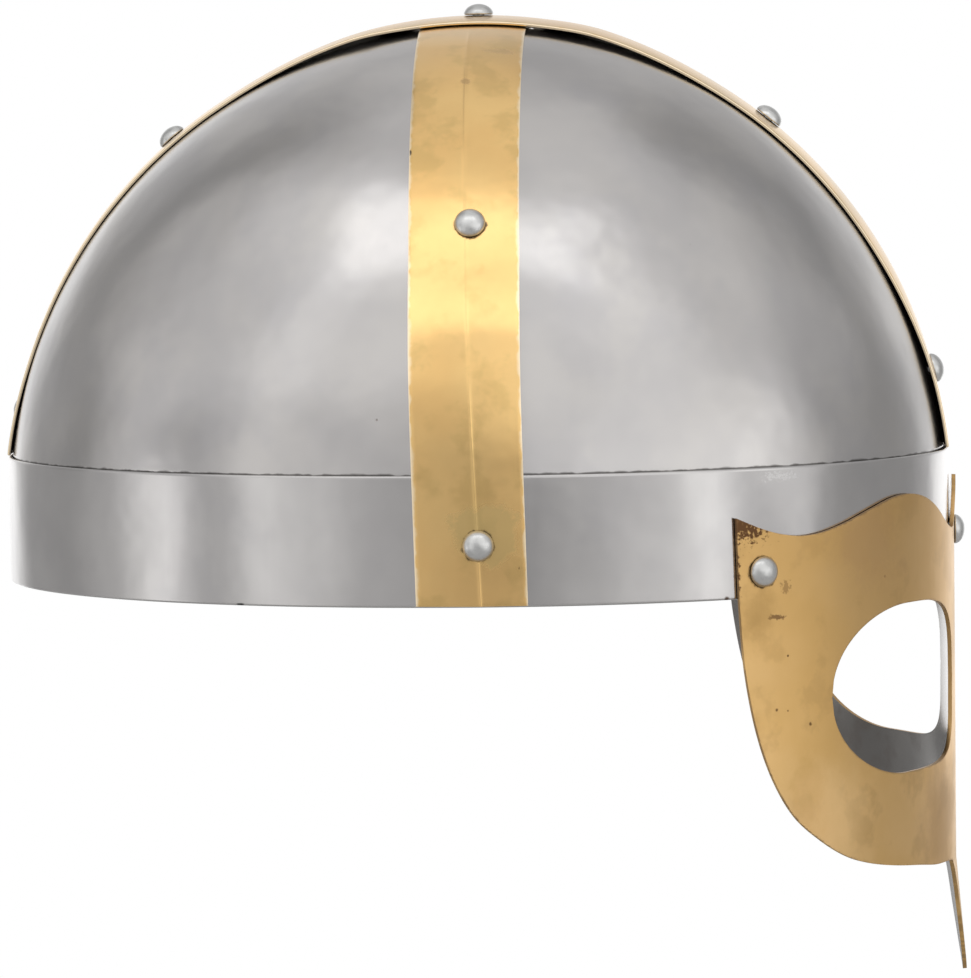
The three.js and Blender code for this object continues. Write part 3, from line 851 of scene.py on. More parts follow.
GUARD_BRASS = MetalFinish(
    name="guard_brass", colour=(0.8, 0.52, 0.22), cloud_colour=(0.73, 0.46, 0.17),
    patina_colour=(0.52, 0.32, 0.12), patina=0.35, patina_scale=75.0, roughness=0.36, roughness_spread=0.1,
    # darker towards the top: partly tarnish, partly painted shade that leaves the lower guard lighter
    coat=0.1, broad_depth=1.2, fine_depth=0.15, top_tarnish_and_shade=0.5, speck_colour=(0.2, 0.1, 0.04),
    speck_scale=110.0, speck_size=0.05, speck_share=0.12,
    edge_width=0.5, edge_strength=0.5, edge_colour=(0.32, 0.19, 0.09), colour_marks=(
        ColourMark((66.4, -82.5, 17.6), 5.6, 0.9, (0.13, 0.055, 0.025), (0.7, 0.7, 1.3), 0.5, 1.1, 1100.0),
        # dark streak down the guard's rear edge: pitting, and painted shadow of the gap between guard and
        # band
        ColourMark((64.6, -83.4, 7.0), 3.2, 0.9, (0.13, 0.055, 0.025), (1.5, 1.5, 0.3), 0.5, 1.0, 1100.0),
        ColourMark((77.4, -75.5, 2.2), 1.7, 0.45, (0.25, 0.14, 0.06), softness=0.5, ragged=1.0, scale=900.0),
        ColourMark((75.0, -77.2, -4.6), 1.9, 0.7, (0.16, 0.08, 0.04), (0.7, 0.7, 2.6), 0.4, 0.8, 900.0),
        ColourMark((77.7, -75.3, -14.0), 0.5, 0.9), ColourMark((82.8, -71.4, -30.7), 0.8, 0.8),
        ColourMark((75.0, -77.2, -26.7), 0.5, 0.7), ColourMark((77.6, -75.4, -27.1), 0.5, 0.7),
        ColourMark((82.2, -71.9, -48.0), 9.0, 0.3, (0.62, 0.4, 0.12), (1.4, 1.4, 0.7), 0.6, 0.6, 90.0),
        # painted highlight: a broad lighter patch on the lower guard
        ColourMark((84.0, -70.0, -58.0), 24.0, 0.6, (0.95, 0.68, 0.35), softness=0.9, ragged=0.3, scale=60.0),
        ColourMark((110.0, -25.0, -58.0), 22.0, 0.5, (0.5, 0.33, 0.18), softness=0.8, ragged=0.4, scale=60.0),
        ColourMark((70.5, -80.0, -4.0), 9.0, 0.5, (0.52, 0.33, 0.12), softness=0.8, ragged=0.5, scale=90.0),
        ColourMark((96.5, -58.0, 9.0), 14.0, 0.3, (0.42, 0.26, 0.14), (0.8, 0.8, 1.0), 0.7, 0.5, 60.0)))
# The guard's inner face is dark partly from tarnish and partly as painted shade of the hollow behind it.
GUARD_INSIDE = MetalFinish(
    name="guard_inside", colour=(0.2, 0.185, 0.17), cloud_colour=(0.13, 0.12, 0.11),
    patina_colour=(0.1, 0.08, 0.065), patina=0.5, roughness=0.2, roughness_spread=0.1, coat=1.0)
STRIP_INSIDE = MetalFinish(
    name="strip_inside", colour=(0.34, 0.3, 0.24), cloud_colour=(0.26, 0.22, 0.17),
    patina_colour=(0.15, 0.12, 0.09), patina=0.5, roughness=0.5)


@dataclass(frozen=True)
class RivetShadow:
    """Painted contact shadow: a dark ring on the sheet around each rivet's head."""

    reach: float = 4.35
    strength: float = 0.85
    colour: tuple[float, float, float] = (0.07, 0.045, 0.025)
    softness: float = 0.14
    ragged: float = 0.12
    scale: float = 500.0

    def around(self, places: Sequence[Spot]) -> list[ColourMark]:
        """Returns the painted shadow ring of each rivet, seen around its head."""
        return [ColourMark(tuple(place.point), self.reach, self.strength, self.colour, softness=self.softness,
                      ragged=self.ragged, scale=self.scale) for place in places]


# Pieces


@dataclass
class DomePlates:
    """The four quarter plates of the dome."""

    form: HelmetForm
    thickness: float = 1.2
    bottom_z: float = 2.5
    half_gap: float = 0.2
    rounding: float = 0.2
    foot_levels: tuple[float, ...] = (0.5, 1.0, 2.0)
    cut_threshold: float = 1e-5
    foot_margin: float = 0.01
    segments: int = 256

    def build(self, looks: Sequence[bpy.types.Material]) -> None:
        """Makes and seats all four plates."""
        for end, side in itertools.product(End, Side):
            self._plate(end, side, looks)

    def _plate(self, end: End, side: Side, looks: Sequence[bpy.types.Material]) -> None:
        """Makes one plate: a quarter of a dome with a straight wall below it.

        Args:
            end: The front or the back half.
            side: The wearer's side.
            looks: The outer and the inner material.
        """
        form = self.form
        name = f"plate_{end.name.lower()}_{side.name.lower()}"
        deselect_all()
        bpy.ops.mesh.primitive_uv_sphere_add(segments=self.segments, ring_count=self.segments // 2, radius=1)
        plate = named(name)
        length = form.dome_front if end is End.FRONT else form.dome_back
        wall = (form.wall_top_z - form.dome_centre_z) / form.dome_height
        with editing(plate):
            for plane_co, plane_no in (((0, 0, wall), (0, 0, 1)), ((0, 0, 0), (end.value, 0, 0)),
                                       ((0, 0, 0), (0, side.value, 0))):
                bpy.ops.mesh.select_all(action="SELECT")
                bpy.ops.mesh.bisect(plane_co=plane_co, plane_no=plane_no, clear_inner=True,
                                    threshold=self.cut_threshold)
            bpy.ops.mesh.select_all(action="SELECT")
            scale_points((length * MM, form.dome_side * MM, form.dome_height * MM))
            for level in self.foot_levels:
                cut = (form.wall_top_z + level - form.dome_centre_z) * MM
                bpy.ops.mesh.select_all(action="SELECT")
                bpy.ops.mesh.bisect(plane_co=(0, 0, cut), plane_no=(0, 0, 1))
            bpy.ops.mesh.select_all(action="SELECT")
            bpy.ops.transform.translate(value=((form.centre_x + end.value * self.half_gap) * MM,
                                               side.value * self.half_gap * MM, form.dome_centre_z * MM))
            select_points(plate, lambda co: co.z < (form.wall_top_z + self.foot_margin) * MM)
            drop = (form.wall_top_z - self.bottom_z) * MM
            bpy.ops.mesh.extrude_region_move(TRANSFORM_OT_translate={"value": (0, 0, -drop)})
        centre = Vector((form.centre_x, 0, form.dome_centre_z)) * MM
        face_outwards(plate, lambda co: co - centre)
        # For the dome, the edge distance is the height above the band, along which its painted shade line
        # runs.
        store_edge_distance(plate, [max(0.0, v.co.z / MM - form.band_height) for v in plate.data.vertices])
        finish_sheet(plate, looks, self.thickness, self.rounding, segments=2)
        seat(plate, f"dome_{name}")


@dataclass
class BrowBand:
    """The steel band around the foot of the dome."""

    form: HelmetForm
    thickness: float = 1.0
    rounding: float = 0.42
    edge_levels: tuple[float, float] = (0.8, 2.0)
    segments: int = 288

    def build(self, looks: Sequence[bpy.types.Material]) -> None:
        """Bends the band into its oval, raises it and gives it its edges.

        Args:
            looks: The outer and the inner material.
        """
        form = self.form
        deselect_all()
        bpy.ops.mesh.primitive_circle_add(vertices=self.segments, radius=1, fill_type="NOTHING")
        band = named("steel_band")
        first, second = self.edge_levels
        top = form.band_height
        levels = (first, second, top / 2, top - second, top - first, top)
        with editing(band):
            scale_points((MM, form.band_side * MM, MM))
            select_points(band, lambda co: co.x > 0)
            scale_points((form.band_front, 1, 1))
            select_points(band, lambda co: co.x < 0)
            scale_points((form.band_back, 1, 1))
            bpy.ops.mesh.select_all(action="SELECT")
            bpy.ops.transform.translate(value=(form.centre_x * MM, 0, 0))
            below = 0.0
            for level in levels:
                step = (0, 0, (level - below) * MM)
                bpy.ops.mesh.extrude_region_move(TRANSFORM_OT_translate={"value": step})
                below = level
        face_outwards(band, lambda co: Vector((co.x, co.y, 0)))
        finish_sheet(band, looks, self.thickness, self.rounding)
        seat(band, "brow_band")


@dataclass
class Strips:
    """The two brass strips that cover the seams of the dome."""

    form: HelmetForm
    half_width: float = 13.0
    thickness: float = 0.8
    fit_gap: float = 0.3
    crease: float = 0.6
    ridge_height: float = 0.1
    ridge_half_width: float = 0.45
    crossing_half_length: float = 15.0
    crossing_fade: float = 16.0
    crest_slack: float = 0.6
    far_edge_x: tuple[float, float] = (12.5, 18.0)
    crest_lift_fade: float = 50.0
    crest_crease_front: float = 0.6
    crest_crease_back: float = 0.2
    crest_crease_z: tuple[float, float] = (35.0, 75.0)
    sprung_front_upper: float = 0.15
    sprung_front_x: tuple[float, float] = (30.0, 70.0)
    sprung_front_lower: float = 1.3
    sprung_front_z: tuple[float, float] = (42.0, 88.0)
    sprung_back_lower: float = 0.6
    sprung_back_z: tuple[float, float] = (31.0, 60.0)
    cross_top_x: float = 1.0
    cross_lean: float = 0.024
    crease_top_x: float = 0.5
    crease_lean: float = 0.043
    bend_top_z: float = 84.0
    bend_end_z: float = 33.0
    cross_bottom_z: float = 0.4
    dome_share: float = 0.45
    rounding: float = 0.3
    columns: int = 36
    column_crowding: float = 1.7
    crest_rows: int = 260
    cross_rows: int = 300

    def _crossing(self, distance: float) -> float:
        """Returns how much of the crossing's flatness is left at a distance from it."""
        end = self.crossing_half_length + self.crossing_fade
        return 1 - smoothstep(distance, self.crossing_half_length, end)

    def _laid(self, name: str, rows: int, place: Callable[[float, float], Spot],
              looks: Sequence[bpy.types.Material]) -> bpy.types.Object:
        """Lays a flat strip over the dome and gives it its thickness.

        Args:
            name: The piece's name.
            rows: How many divisions it has along its length.
            place: Gives the outer face from the share along and the share across, from -1 to 1.
            looks: The outer and the inner material.

        Returns:
            The strip.
        """
        deselect_all()
        bpy.ops.mesh.primitive_grid_add(x_subdivisions=self.columns, y_subdivisions=rows, size=2)
        strip = named(name)
        power = self.column_crowding
        shares = [(vertex.co.y / 2 + 0.5, math.copysign(abs(vertex.co.x) ** power, vertex.co.x))
                  for vertex in strip.data.vertices]
        spots = [place(along, across) for along, across in shares]
        for vertex, spot in zip(strip.data.vertices, spots):
            vertex.co = spot.point * MM
        strip.data.update()
        centre = Vector((self.form.centre_x, 0, 0)) * MM
        face_outwards(strip, lambda co: co - centre)
        store_edge_distance(strip, [(1 - abs(across)) * self.half_width for _, across in shares])
        finish_sheet(strip, looks, self.thickness, self.rounding)
        return strip

    def _crest_place(self, along: float, across: float) -> Spot:
        """The crest strip's outer face.

        Args:
            along: The share along the strip, from the front.
            across: The share across the strip, from -1 to 1.

        Returns:
            The point there.
        """
        form = self.form
        start = math.asin((form.band_height + self.fit_gap - form.dome_centre_z) / form.dome_height)
        angle = lerp(start, math.pi - start, along)
        spot = form.dome_at_y(across * self.half_width, angle)
        point = spot.out(self.crest_height(angle, across))
        if along in (0.0, 1.0):
            point.z = form.band_height + self.fit_gap
        return Spot(point, spot.normal)

    def _sprung(self, x: float, z: float) -> float:
        """How far the crest strip's right-hand edge has sprung off the dome.

        Args:
            x: The distance along the helmet from the crossing.
            z: The height.

        Returns:
            The distance in millimetres.
        """
        if x < 0:
            return self.sprung_back_lower * (1 - smoothstep(z, *self.sprung_back_z))
        upper = self.sprung_front_upper * smoothstep(x, *self.sprung_front_x)
        return lerp(self.sprung_front_lower, upper, smoothstep(z, *self.sprung_front_z))

    def crest_height(self, angle: float, across: float) -> float:
        """How far the crest strip's outer face stands off the dome.

        Args:
            angle: The angle from the front over the top, in radians.
            across: The share across the strip, from -1 to 1.

        Returns:
            The height in millimetres.
        """
        ridge = self.form.dome_at_y(0, angle).point
        x = ridge.x - self.cross_top_x
        crossing = self._crossing(abs(x))
        full_lift = self.thickness + self.fit_gap + self.crest_slack
        start = self.crossing_half_length
        fading = smoothstep(abs(x), start, start + self.crest_lift_fade)
        lift = full_lift * (1 - fading)
        front = self.crest_crease_front * smoothstep(ridge.z, *self.crest_crease_z)
        middle = lift + (self.crest_crease_back if x < 0 else front) * (1 - crossing)
        tucked = self.crest_slack * crossing
        far = full_lift * (1 - smoothstep(abs(x), *self.far_edge_x))
        edge = lift + self._sprung(x, ridge.z) - tucked if across < 0 else far - tucked
        return self.fit_gap + self.thickness + lerp(middle, edge, abs(across))

    def _cross_place(self, along: float, across: float) -> Spot:
        """The cross strip's outer face, which bends from the dome to the band.

        Args:
            along: The share along the strip, from the wearer's right.
            across: The share across the strip, from -1 to 1.

        Returns:
            The point there.
        """
        form = self.form
        side = Side.RIGHT if along < 0.5 else Side.LEFT
        share = abs(along - 0.5) * 2
        over_dome = share <= self.dome_share
        bend_angle = math.asin((self.bend_top_z - form.dome_centre_z) / form.dome_height)
        angle = lerp(math.pi / 2, bend_angle, min(1.0, share / self.dome_share))
        z = form.dome_centre_z + form.dome_height * math.sin(angle)
        if not over_dome:
            z = lerp(self.bend_top_z, self.cross_bottom_z, (share - self.dome_share) / (1 - self.dome_share))
        drop = form.dome_centre_z + form.dome_height - z
        crease_x = self.crease_top_x + self.crease_lean * drop
        edge_x = self.cross_top_x + self.cross_lean * drop + math.copysign(self.half_width, across)
        x = lerp(crease_x, edge_x, abs(across))
        if over_dome:
            spot = form.dome_round(x, angle, side)
            free = 1 - self._crossing(abs(spot.point.y))
        else:
            over_band = 1 - smoothstep(z, self.bend_end_z, self.bend_top_z)
            dome, band = form.dome_at_x(x, max(z, form.wall_top_z), side), form.band_at_x(x, z, side)
            point = Vector((x, lerp(dome.point.y, band.point.y, over_band), z))
            spot = Spot(point, dome.normal.lerp(band.normal, over_band).normalized())
            free = 1.0
        line = max(0.0, 1 - abs(across) * self.half_width / self.ridge_half_width)
        folded = self.crease * (1 - abs(across)) + self.ridge_height * line
        return Spot(spot.out(self.fit_gap + self.thickness + folded * free), spot.normal)

    def build(self, looks: Sequence[bpy.types.Material]) -> None:
        """Makes and seats both strips."""
        crest = self._laid("crest_brass", self.crest_rows, self._crest_place, looks)
        seat(crest, "crest_strip")
        cross = self._laid("cross_brass", self.cross_rows, self._cross_place, looks)
        seat(cross, "cross_strip")


@dataclass
class FaceGuard:
    """The spectacle guard: a flat outline laid around the front of the band."""

    form: HelmetForm
    thickness: float = 1.0
    fit_gap: float = 0.3
    shift: float = 3.0
    top: tuple[tuple[float, float], ...] = (
        (0, 23.4), (4.4, 19.2), (7.6, 14.2), (10.6, 11.8), (15.5, 11.4), (22.5, 13.1), (31.9, 17.8),
        (39.5, 20.6), (47.3, 21.9), (55, 21.5), (64, 19.3), (73.5, 16.5), (81, 14.8), (87, 14.3), (93, 14.9),
        (99, 16.5), (106.0, 19.3))
    bottom: tuple[tuple[float, float], ...] = (
        (0, -101.1), (5.4, -95), (9.8, -86), (12.8, -77), (16.2, -71.9), (22, -70.8), (33.7, -70.2),
        (44, -69), (55.7, -67.7), (65.4, -66.1), (74, -63.5), (82.5, -58.8), (90.4, -52.4), (96.5, -43),
        (100.9, -31.3), (103.9, -16.9), (105.2, -2.6), (105.8, 8.8), (106.0, 19.3))
    eye_s: float = 49.3
    eye_z: float = -25.0
    eye_inner: float = 33.0
    eye_outer: float = 29.3
    eye_half_height: float = 20.6
    inner_power: float = 3.0
    inner_lower_power: float = 4.2
    outer_power: float = 2.05
    nasal_root_z: float = -72.0
    nasal_flare: float = 0.09
    tab_half_width: float = 10.6
    tab_root_z: float = 12.0
    tab_flare: float = 0.05
    rounding: float = 0.22
    rounding_angle: float = 60
    weld: float = 0.004
    degenerate: float = 0.002
    row_margins: tuple[tuple[float, float], ...] = ((0, 0), (0.5, 0.08), (1.4, 0.18), (3.2, 0.3))
    middle_steps: int = 4
    nasal_rows: int = 4
    tab_rows: int = 3
    outline_steps: int = 150
    eye_steps: int = 40
    column_step: float = 1.5
    smallest_column: float = 0.3
    arc_steps: int = 2000
    arc_table: list[float] = field(default_factory=list)

    def __post_init__(self) -> None:
        """Tabulates the arc length along the guard against the angle in plan."""
        front = self.form.band_front + self.fit_gap + self.thickness
        side = self.form.band_side + self.fit_gap + self.thickness
        self.arc_table = [0.0]
        step = math.pi / 2 / self.arc_steps
        for i in range(self.arc_steps):
            angle = (i + 0.5) * step
            length = step * math.hypot(front * math.sin(angle), side * math.cos(angle))
            self.arc_table.append(self.arc_table[-1] + length)

    def plan_angle(self, s: float) -> float:
        """Turns an arc length into an angle.

        Args:
            s: The arc length from the middle of the face, in millimetres.

        Returns:
            The angle in plan, in radians.
        """
        length = abs(s)
        low, high = 0, self.arc_steps
        while high - low > 1:
            middle = (low + high) // 2
            low, high = (middle, high) if self.arc_table[middle] < length else (low, middle)
        share = (length - self.arc_table[low]) / (self.arc_table[high] - self.arc_table[low])
        return math.copysign((low + share) / self.arc_steps * math.pi / 2, s)

    def place(self, s: float, z: float) -> Vector:
        """Lays one place of the flat outline around the band.

        Args:
            s: The distance from the guard's middle.
            z: The height.

        Returns:
            The point of the outer face.
        """
        spot = self.form.band_at_angle(self.plan_angle(s + self.shift), z)
        point = spot.out(self.fit_gap + self.thickness)
        if z < self.nasal_root_z:
            point.x += self.nasal_flare * (self.nasal_root_z - z)
        if z > self.tab_root_z and abs(s) < self.tab_half_width:
            point.x += self.tab_flare * (z - self.tab_root_z)
        return point

    @staticmethod
    def _smooth_line(points: Sequence[tuple[float, float]], steps: int) -> list[tuple[float, float]]:
        """Draws a smooth line through points.

        Args:
            points: The points.
            steps: How many steps the line has.

        Returns:
            The line's points.
        """
        line = []
        last = len(points) - 1
        for i in range(steps + 1):
            reach = last * i / steps
            k = min(int(reach), last)
            w = reach - k
            p0, p1 = points[max(k - 1, 0)], points[k]
            p2, p3 = points[min(k + 1, last)], points[min(k + 2, last)]
            both = []
            for a, b, c, d in zip(p0, p1, p2, p3):
                t0, t1 = (c - a) / 2, (d - b) / 2
                cubic, square = 2 * b - 2 * c + t0 + t1, -3 * b + 3 * c - 2 * t0 - t1
                both.append(cubic * w**3 + square * w**2 + t0 * w + b)
            line.append((both[0], both[1]))
        return line

    @staticmethod
    def _height_at(line: Sequence[tuple[float, float]], s: float) -> float:
        """Reads a line's height.

        Args:
            line: The line's points.
            s: The place along the guard.

        Returns:
            The height there.
        """
        k = 1
        while k < len(line) - 1 and line[k][0] < s:
            k += 1
        (s0, z0), (s1, z1) = line[k - 1], line[k]
        return lerp(z0, z1, min(1.0, max(0.0, (s - s0) / max(1e-9, s1 - s0))))

    def _eye_half(self, s: float, lower: bool) -> float:
        """Measures the eye hole's height from its middle line.

        Args:
            s: The place along the guard.
            lower: Whether the lower half is asked for.

        Returns:
            The height in millimetres, zero outside the hole.
        """
        inward = s < self.eye_s
        share = min(1.0, abs(s - self.eye_s) / (self.eye_inner if inward else self.eye_outer))
        inner = self.inner_lower_power if lower else self.inner_power
        power = inner if inward else self.outer_power
        return self.eye_half_height * max(0.0, 1 - share**power) ** (1 / power)

    def _columns(self, top: Sequence[tuple[float, float]],
                 bottom: Sequence[tuple[float, float]]) -> list[float]:
        """Divides the guard into upright columns.

        Args:
            top: Its upper line.
            bottom: Its lower line.

        Returns:
            The columns' places from its middle to its outer end.
        """
        inner, outer = self.eye_s - self.eye_inner, self.eye_s + self.eye_outer
        fixed = [0.0, inner, outer, self.tab_half_width, top[-1][0]]
        loose = [s for s, _ in (*top, *bottom)]
        for i in range(1, self.eye_steps + 1):
            turn = math.cos(i / self.eye_steps * math.pi / 2)
            loose += [self.eye_s - self.eye_inner * turn, self.eye_s + self.eye_outer * turn]
        kept = sorted(fixed)
        for s in sorted(loose):
            if min(abs(s - other) for other in kept) > self.smallest_column:
                kept.append(s)
        kept.sort()
        filled = [kept[0]]
        for s in kept[1:]:
            steps = max(1, math.ceil((s - filled[-1]) / self.column_step))
            start = filled[-1]
            filled += [lerp(start, s, (i + 1) / steps) for i in range(steps)]
        return filled

    def _rows(self, low: float, high: float) -> list[float]:
        """Spreads heights closer together at both ends.

        Args:
            low: The first height.
            high: The last height.

        Returns:
            All the heights.
        """
        length, steps = high - low, self.middle_steps
        margins = [min(d, length * share) for d, share in self.row_margins]
        middle = [lerp(low + margins[-1], high - margins[-1], i / steps) for i in range(1, steps)]
        return [low + m for m in margins] + middle + [high - m for m in reversed(margins)]

    def _levels(self, r: float, head: float, foot: float) -> list[float]:
        """Divides one upright column, with two rows that meet where it has no eye hole.

        Args:
            r: The column's distance from the middle of the face.
            head: Its upper end.
            foot: Its lower end.

        Returns:
            The heights from the foot up.
        """
        middle = min(max(self.eye_z, foot), head)
        below, above = middle - self._eye_half(r, True), middle + self._eye_half(r, False)
        nasal = max(foot, min(self.nasal_root_z, middle))
        tab = min(head, self.tab_root_z) if r < self.tab_half_width else head
        tab = max(tab, above)
        rows = [lerp(foot, nasal, i / self.nasal_rows) for i in range(self.nasal_rows)]
        rows += self._rows(nasal, below) + self._rows(above, tab)
        return rows + [lerp(tab, head, i / self.tab_rows) for i in range(1, self.tab_rows + 1)]

    def build(self, looks: Sequence[bpy.types.Material]) -> None:
        """Cuts the flat guard, lays it around the band and gives it its edges.

        Args:
            looks: The outer and the inner material.
        """
        top = self._smooth_line(self.top, self.outline_steps)
        bottom = self._smooth_line(self.bottom, self.outline_steps)
        half = self._columns(top, bottom)
        columns = [-s for s in reversed(half[1:])] + half
        levels = []
        for s in columns:
            head = self._height_at(top, abs(s))
            levels.append(self._levels(abs(s), head, min(head, self._height_at(bottom, abs(s)))))
        count = len(levels[0])
        deselect_all()
        bpy.ops.mesh.primitive_grid_add(x_subdivisions=len(columns) - 1, y_subdivisions=count - 1, size=2)
        guard = named("guard_brass")
        flat = []
        for vertex in guard.data.vertices:
            i = round((vertex.co.x + 1) / 2 * (len(columns) - 1))
            j = round((vertex.co.y + 1) / 2 * (count - 1))
            flat.append((columns[i], levels[i][j]))
            vertex.co = self.place(*flat[-1]) * MM
        outline = [(sign * s, z) for sign in (-1, 1) for s, z in (*top, *bottom)]
        outline += [(sign * s, self.eye_z + (-1 if low else 1) * self._eye_half(s, low)) for sign in (-1, 1)
                    for low in (True, False) for s in half
                    if self.eye_s - self.eye_inner <= s <= self.eye_s + self.eye_outer]
        store_edge_distance(guard, self._distances(flat, outline))
        self._open_eyes(guard, len(columns))
        face_outwards(guard, lambda co: Vector((co.x, co.y, 0)))
        finish_sheet(guard, looks, self.thickness, self.rounding, angle=self.rounding_angle)
        seat(guard, "face_guard")

    def _open_eyes(self, guard: bpy.types.Object, width: int) -> None:
        """Opens the eye holes and joins the rows where they meet.

        Args:
            guard: The laid guard.
            width: How many columns of vertices it has.
        """
        gap_row = self.nasal_rows + len(self._rows(0, 1)) - 1
        mesh = bmesh.new()
        mesh.from_mesh(guard.data)
        holes = [face for face in mesh.faces
                 if {vertex.index // width for vertex in face.verts} == {gap_row, gap_row + 1}]
        bmesh.ops.delete(mesh, geom=holes, context="FACES_ONLY")
        bmesh.ops.remove_doubles(mesh, verts=mesh.verts, dist=self.weld * MM)
        bmesh.ops.dissolve_degenerate(mesh, edges=mesh.edges, dist=self.degenerate * MM)
        mesh.to_mesh(guard.data)
        mesh.free()

    @staticmethod
    def _distances(flat: Sequence[tuple[float, float]],
                   outline: Sequence[tuple[float, float]]) -> list[float]:
        """Measures each place's distance to the outline.

        Args:
            flat: Places on the flat guard.
            outline: Points along its edges.

        Returns:
            The distances in millimetres.
        """
        tree = KDTree(len(outline))
        for k, (s, z) in enumerate(outline):
            tree.insert((s, z, 0), k)
        tree.balance()
        return [tree.find((s, z, 0))[2] for s, z in flat]


@dataclass(frozen=True)
class RivetSeat:
    """Where one rivet sits: its node, its place and how thick the stack of sheets is."""

    node: str
    spot: Spot
    head_out: float
    burr_in: float


@dataclass
class Rivets:
    """The twelve steel rivets: one is modelled and copied to each place."""

    form: HelmetForm
    strips: Strips
    guard: FaceGuard
    head_radius: float = 3.7
    head_height: float = 2.7
    head_seat: float = 0.2
    head_segments: int = 40
    head_rings: int = 24
    tail_segments: int = 24
    head_rounding: float = 0.35
    head_rounding_angle: float = 60
    smooth_angle: float = 40
    shank_overlap: float = 0.2
    shank_radius: float = 1.5
    burr_radius: float = 2.5
    burr_height: float = 0.8
    plate_thickness: float = 1.2
    fit_gap: float = 0.3
    burr_clearance: float = 0.4
    top_x: float = 1.7
    crest_places: tuple[tuple[str, float, float], ...] = (
        ("front_upper", 52.3, 0), ("front_lower", 16, 0), ("back_upper", 130.0, 0), ("back_lower", 168.2, 9))
    cross_upper: tuple[float, float] = (3.7, 88.3)
    cross_lower: tuple[float, float] = (5.9, 14.6)
    guard_middle_z: float = 9.7
    guard_corner: tuple[float, float] = (98.9, 6.4)

    def seats(self) -> list[RivetSeat]:
        """Lists every rivet's place.

        Returns:
            One entry for each rivet.
        """
        form, strips = self.form, self.strips
        inside_dome = self.plate_thickness + self.fit_gap
        inside_band = (form.band_side - form.dome_side + self.plate_thickness + self.fit_gap
                       + self.burr_clearance)
        top_angle = math.acos((self.top_x - form.centre_x) / form.dome_back)
        found = [RivetSeat("rivet_top", form.dome_at_y(0, top_angle),
                           strips.crest_height(math.pi / 2, 0) + self.fit_gap, inside_dome)]
        for where, degrees, y in self.crest_places:
            angle = math.radians(degrees)
            found.append(RivetSeat(f"rivet_crest_{where}", form.dome_at_y(y, angle),
                                   strips.crest_height(angle, 0) + self.fit_gap, inside_dome))
        stack = self.fit_gap + strips.thickness + strips.crease + self.fit_gap
        guard_out = self.fit_gap + self.guard.thickness + self.fit_gap
        for side in Side:
            name = side.name.lower()
            upper, lower = form.dome_at_x(*self.cross_upper, side), form.band_at_x(*self.cross_lower, side)
            found.append(RivetSeat(f"rivet_cross_upper_{name}", upper, stack, inside_dome))
            found.append(RivetSeat(f"rivet_cross_lower_{name}", lower, stack, inside_band))
            angle = self.guard.plan_angle(side.value * self.guard_corner[0] + self.guard.shift)
            corner = form.band_at_angle(angle, self.guard_corner[1])
            found.append(RivetSeat(f"rivet_guard_{name}", corner, guard_out, inside_band))
        middle = form.band_at_angle(self.guard.plan_angle(self.guard.shift), self.guard_middle_z)
        found.append(RivetSeat("rivet_guard_middle", middle, guard_out, inside_band))
        return found

    def _model(self) -> bpy.types.Object:
        """Models the rivet's domed head, standing on the origin along +Z.

        Returns:
            The head, in metres.
        """
        deselect_all()
        bpy.ops.mesh.primitive_uv_sphere_add(segments=self.head_segments, ring_count=self.head_rings,
                                             radius=self.head_radius * MM)
        head = named("rivet_head")
        with editing(head):
            bpy.ops.mesh.bisect(plane_co=(0, 0, 0), plane_no=(0, 0, 1), clear_inner=True, use_fill=True)
            bpy.ops.mesh.select_all(action="SELECT")
            scale_points((1, 1, self.head_height / self.head_radius))
        round_edges(head, self.head_rounding, self.head_rounding_angle)
        apply_modifiers(head)
        return head

    def _tail(self, length: float) -> bpy.types.Object:
        """Models the shank and the burr inside, below the origin.

        Args:
            length: From the head's underside to the inner sheet, in millimetres.

        Returns:
            The tail, in metres.
        """
        deselect_all()
        overlap = self.shank_overlap
        bpy.ops.mesh.primitive_cylinder_add(vertices=self.tail_segments, radius=self.shank_radius * MM,
                                            depth=(length + overlap) * MM,
                                            location=(0, 0, -(length - overlap) / 2 * MM))
        shank = named("rivet_shank")
        deselect_all()
        bpy.ops.mesh.primitive_uv_sphere_add(segments=self.tail_segments,
                                             ring_count=self.tail_segments // 2, radius=1)
        burr = named("rivet_burr")
        with editing(burr):
            scale_points((self.burr_radius * MM, self.burr_radius * MM, self.burr_height * MM))
            bpy.ops.mesh.bisect(plane_co=(0, 0, 0), plane_no=(0, 0, -1), clear_inner=True, use_fill=True)
            bpy.ops.mesh.select_all(action="SELECT")
            bpy.ops.transform.translate(value=(0, 0, -length * MM))
        deselect_all()
        for part in (burr, shank):
            bpy.context.view_layer.objects.active = part
            part.select_set(True)
            bpy.ops.object.transform_apply(location=True, rotation=True, scale=True)
        bpy.ops.object.join()
        return shank

    def build(self, steel: bpy.types.Material) -> None:
        """Makes and seats all the rivets."""
        head = self._model()
        for place in self.seats():
            rivet = head.copy()
            rivet.data = head.data.copy()
            bpy.context.scene.collection.objects.link(rivet)
            head_out = place.head_out - self.head_seat
            rivet.location = (0, 0, head_out * MM)
            tail = self._tail(head_out + place.burr_in)
            tail.location = (0, 0, head_out * MM)
            deselect_all()
            tail.select_set(True)
            rivet.select_set(True)
            bpy.context.view_layer.objects.active = rivet
            bpy.ops.object.transform_apply(location=True, rotation=True, scale=True)
            bpy.ops.object.join()
            rivet.name = place.node.replace("rivet_", "stud_")
            rivet.data.name = rivet.name
            turn = place.spot.normal.to_track_quat("Z", "Y").to_matrix().to_4x4()
            rivet.data.transform(Matrix.Translation(place.spot.point * MM) @ turn)
            rivet.data.materials.append(steel)
            shade(rivet, self.smooth_angle)
            seat(rivet, place.node)
        bpy.data.objects.remove(head)


# The studio


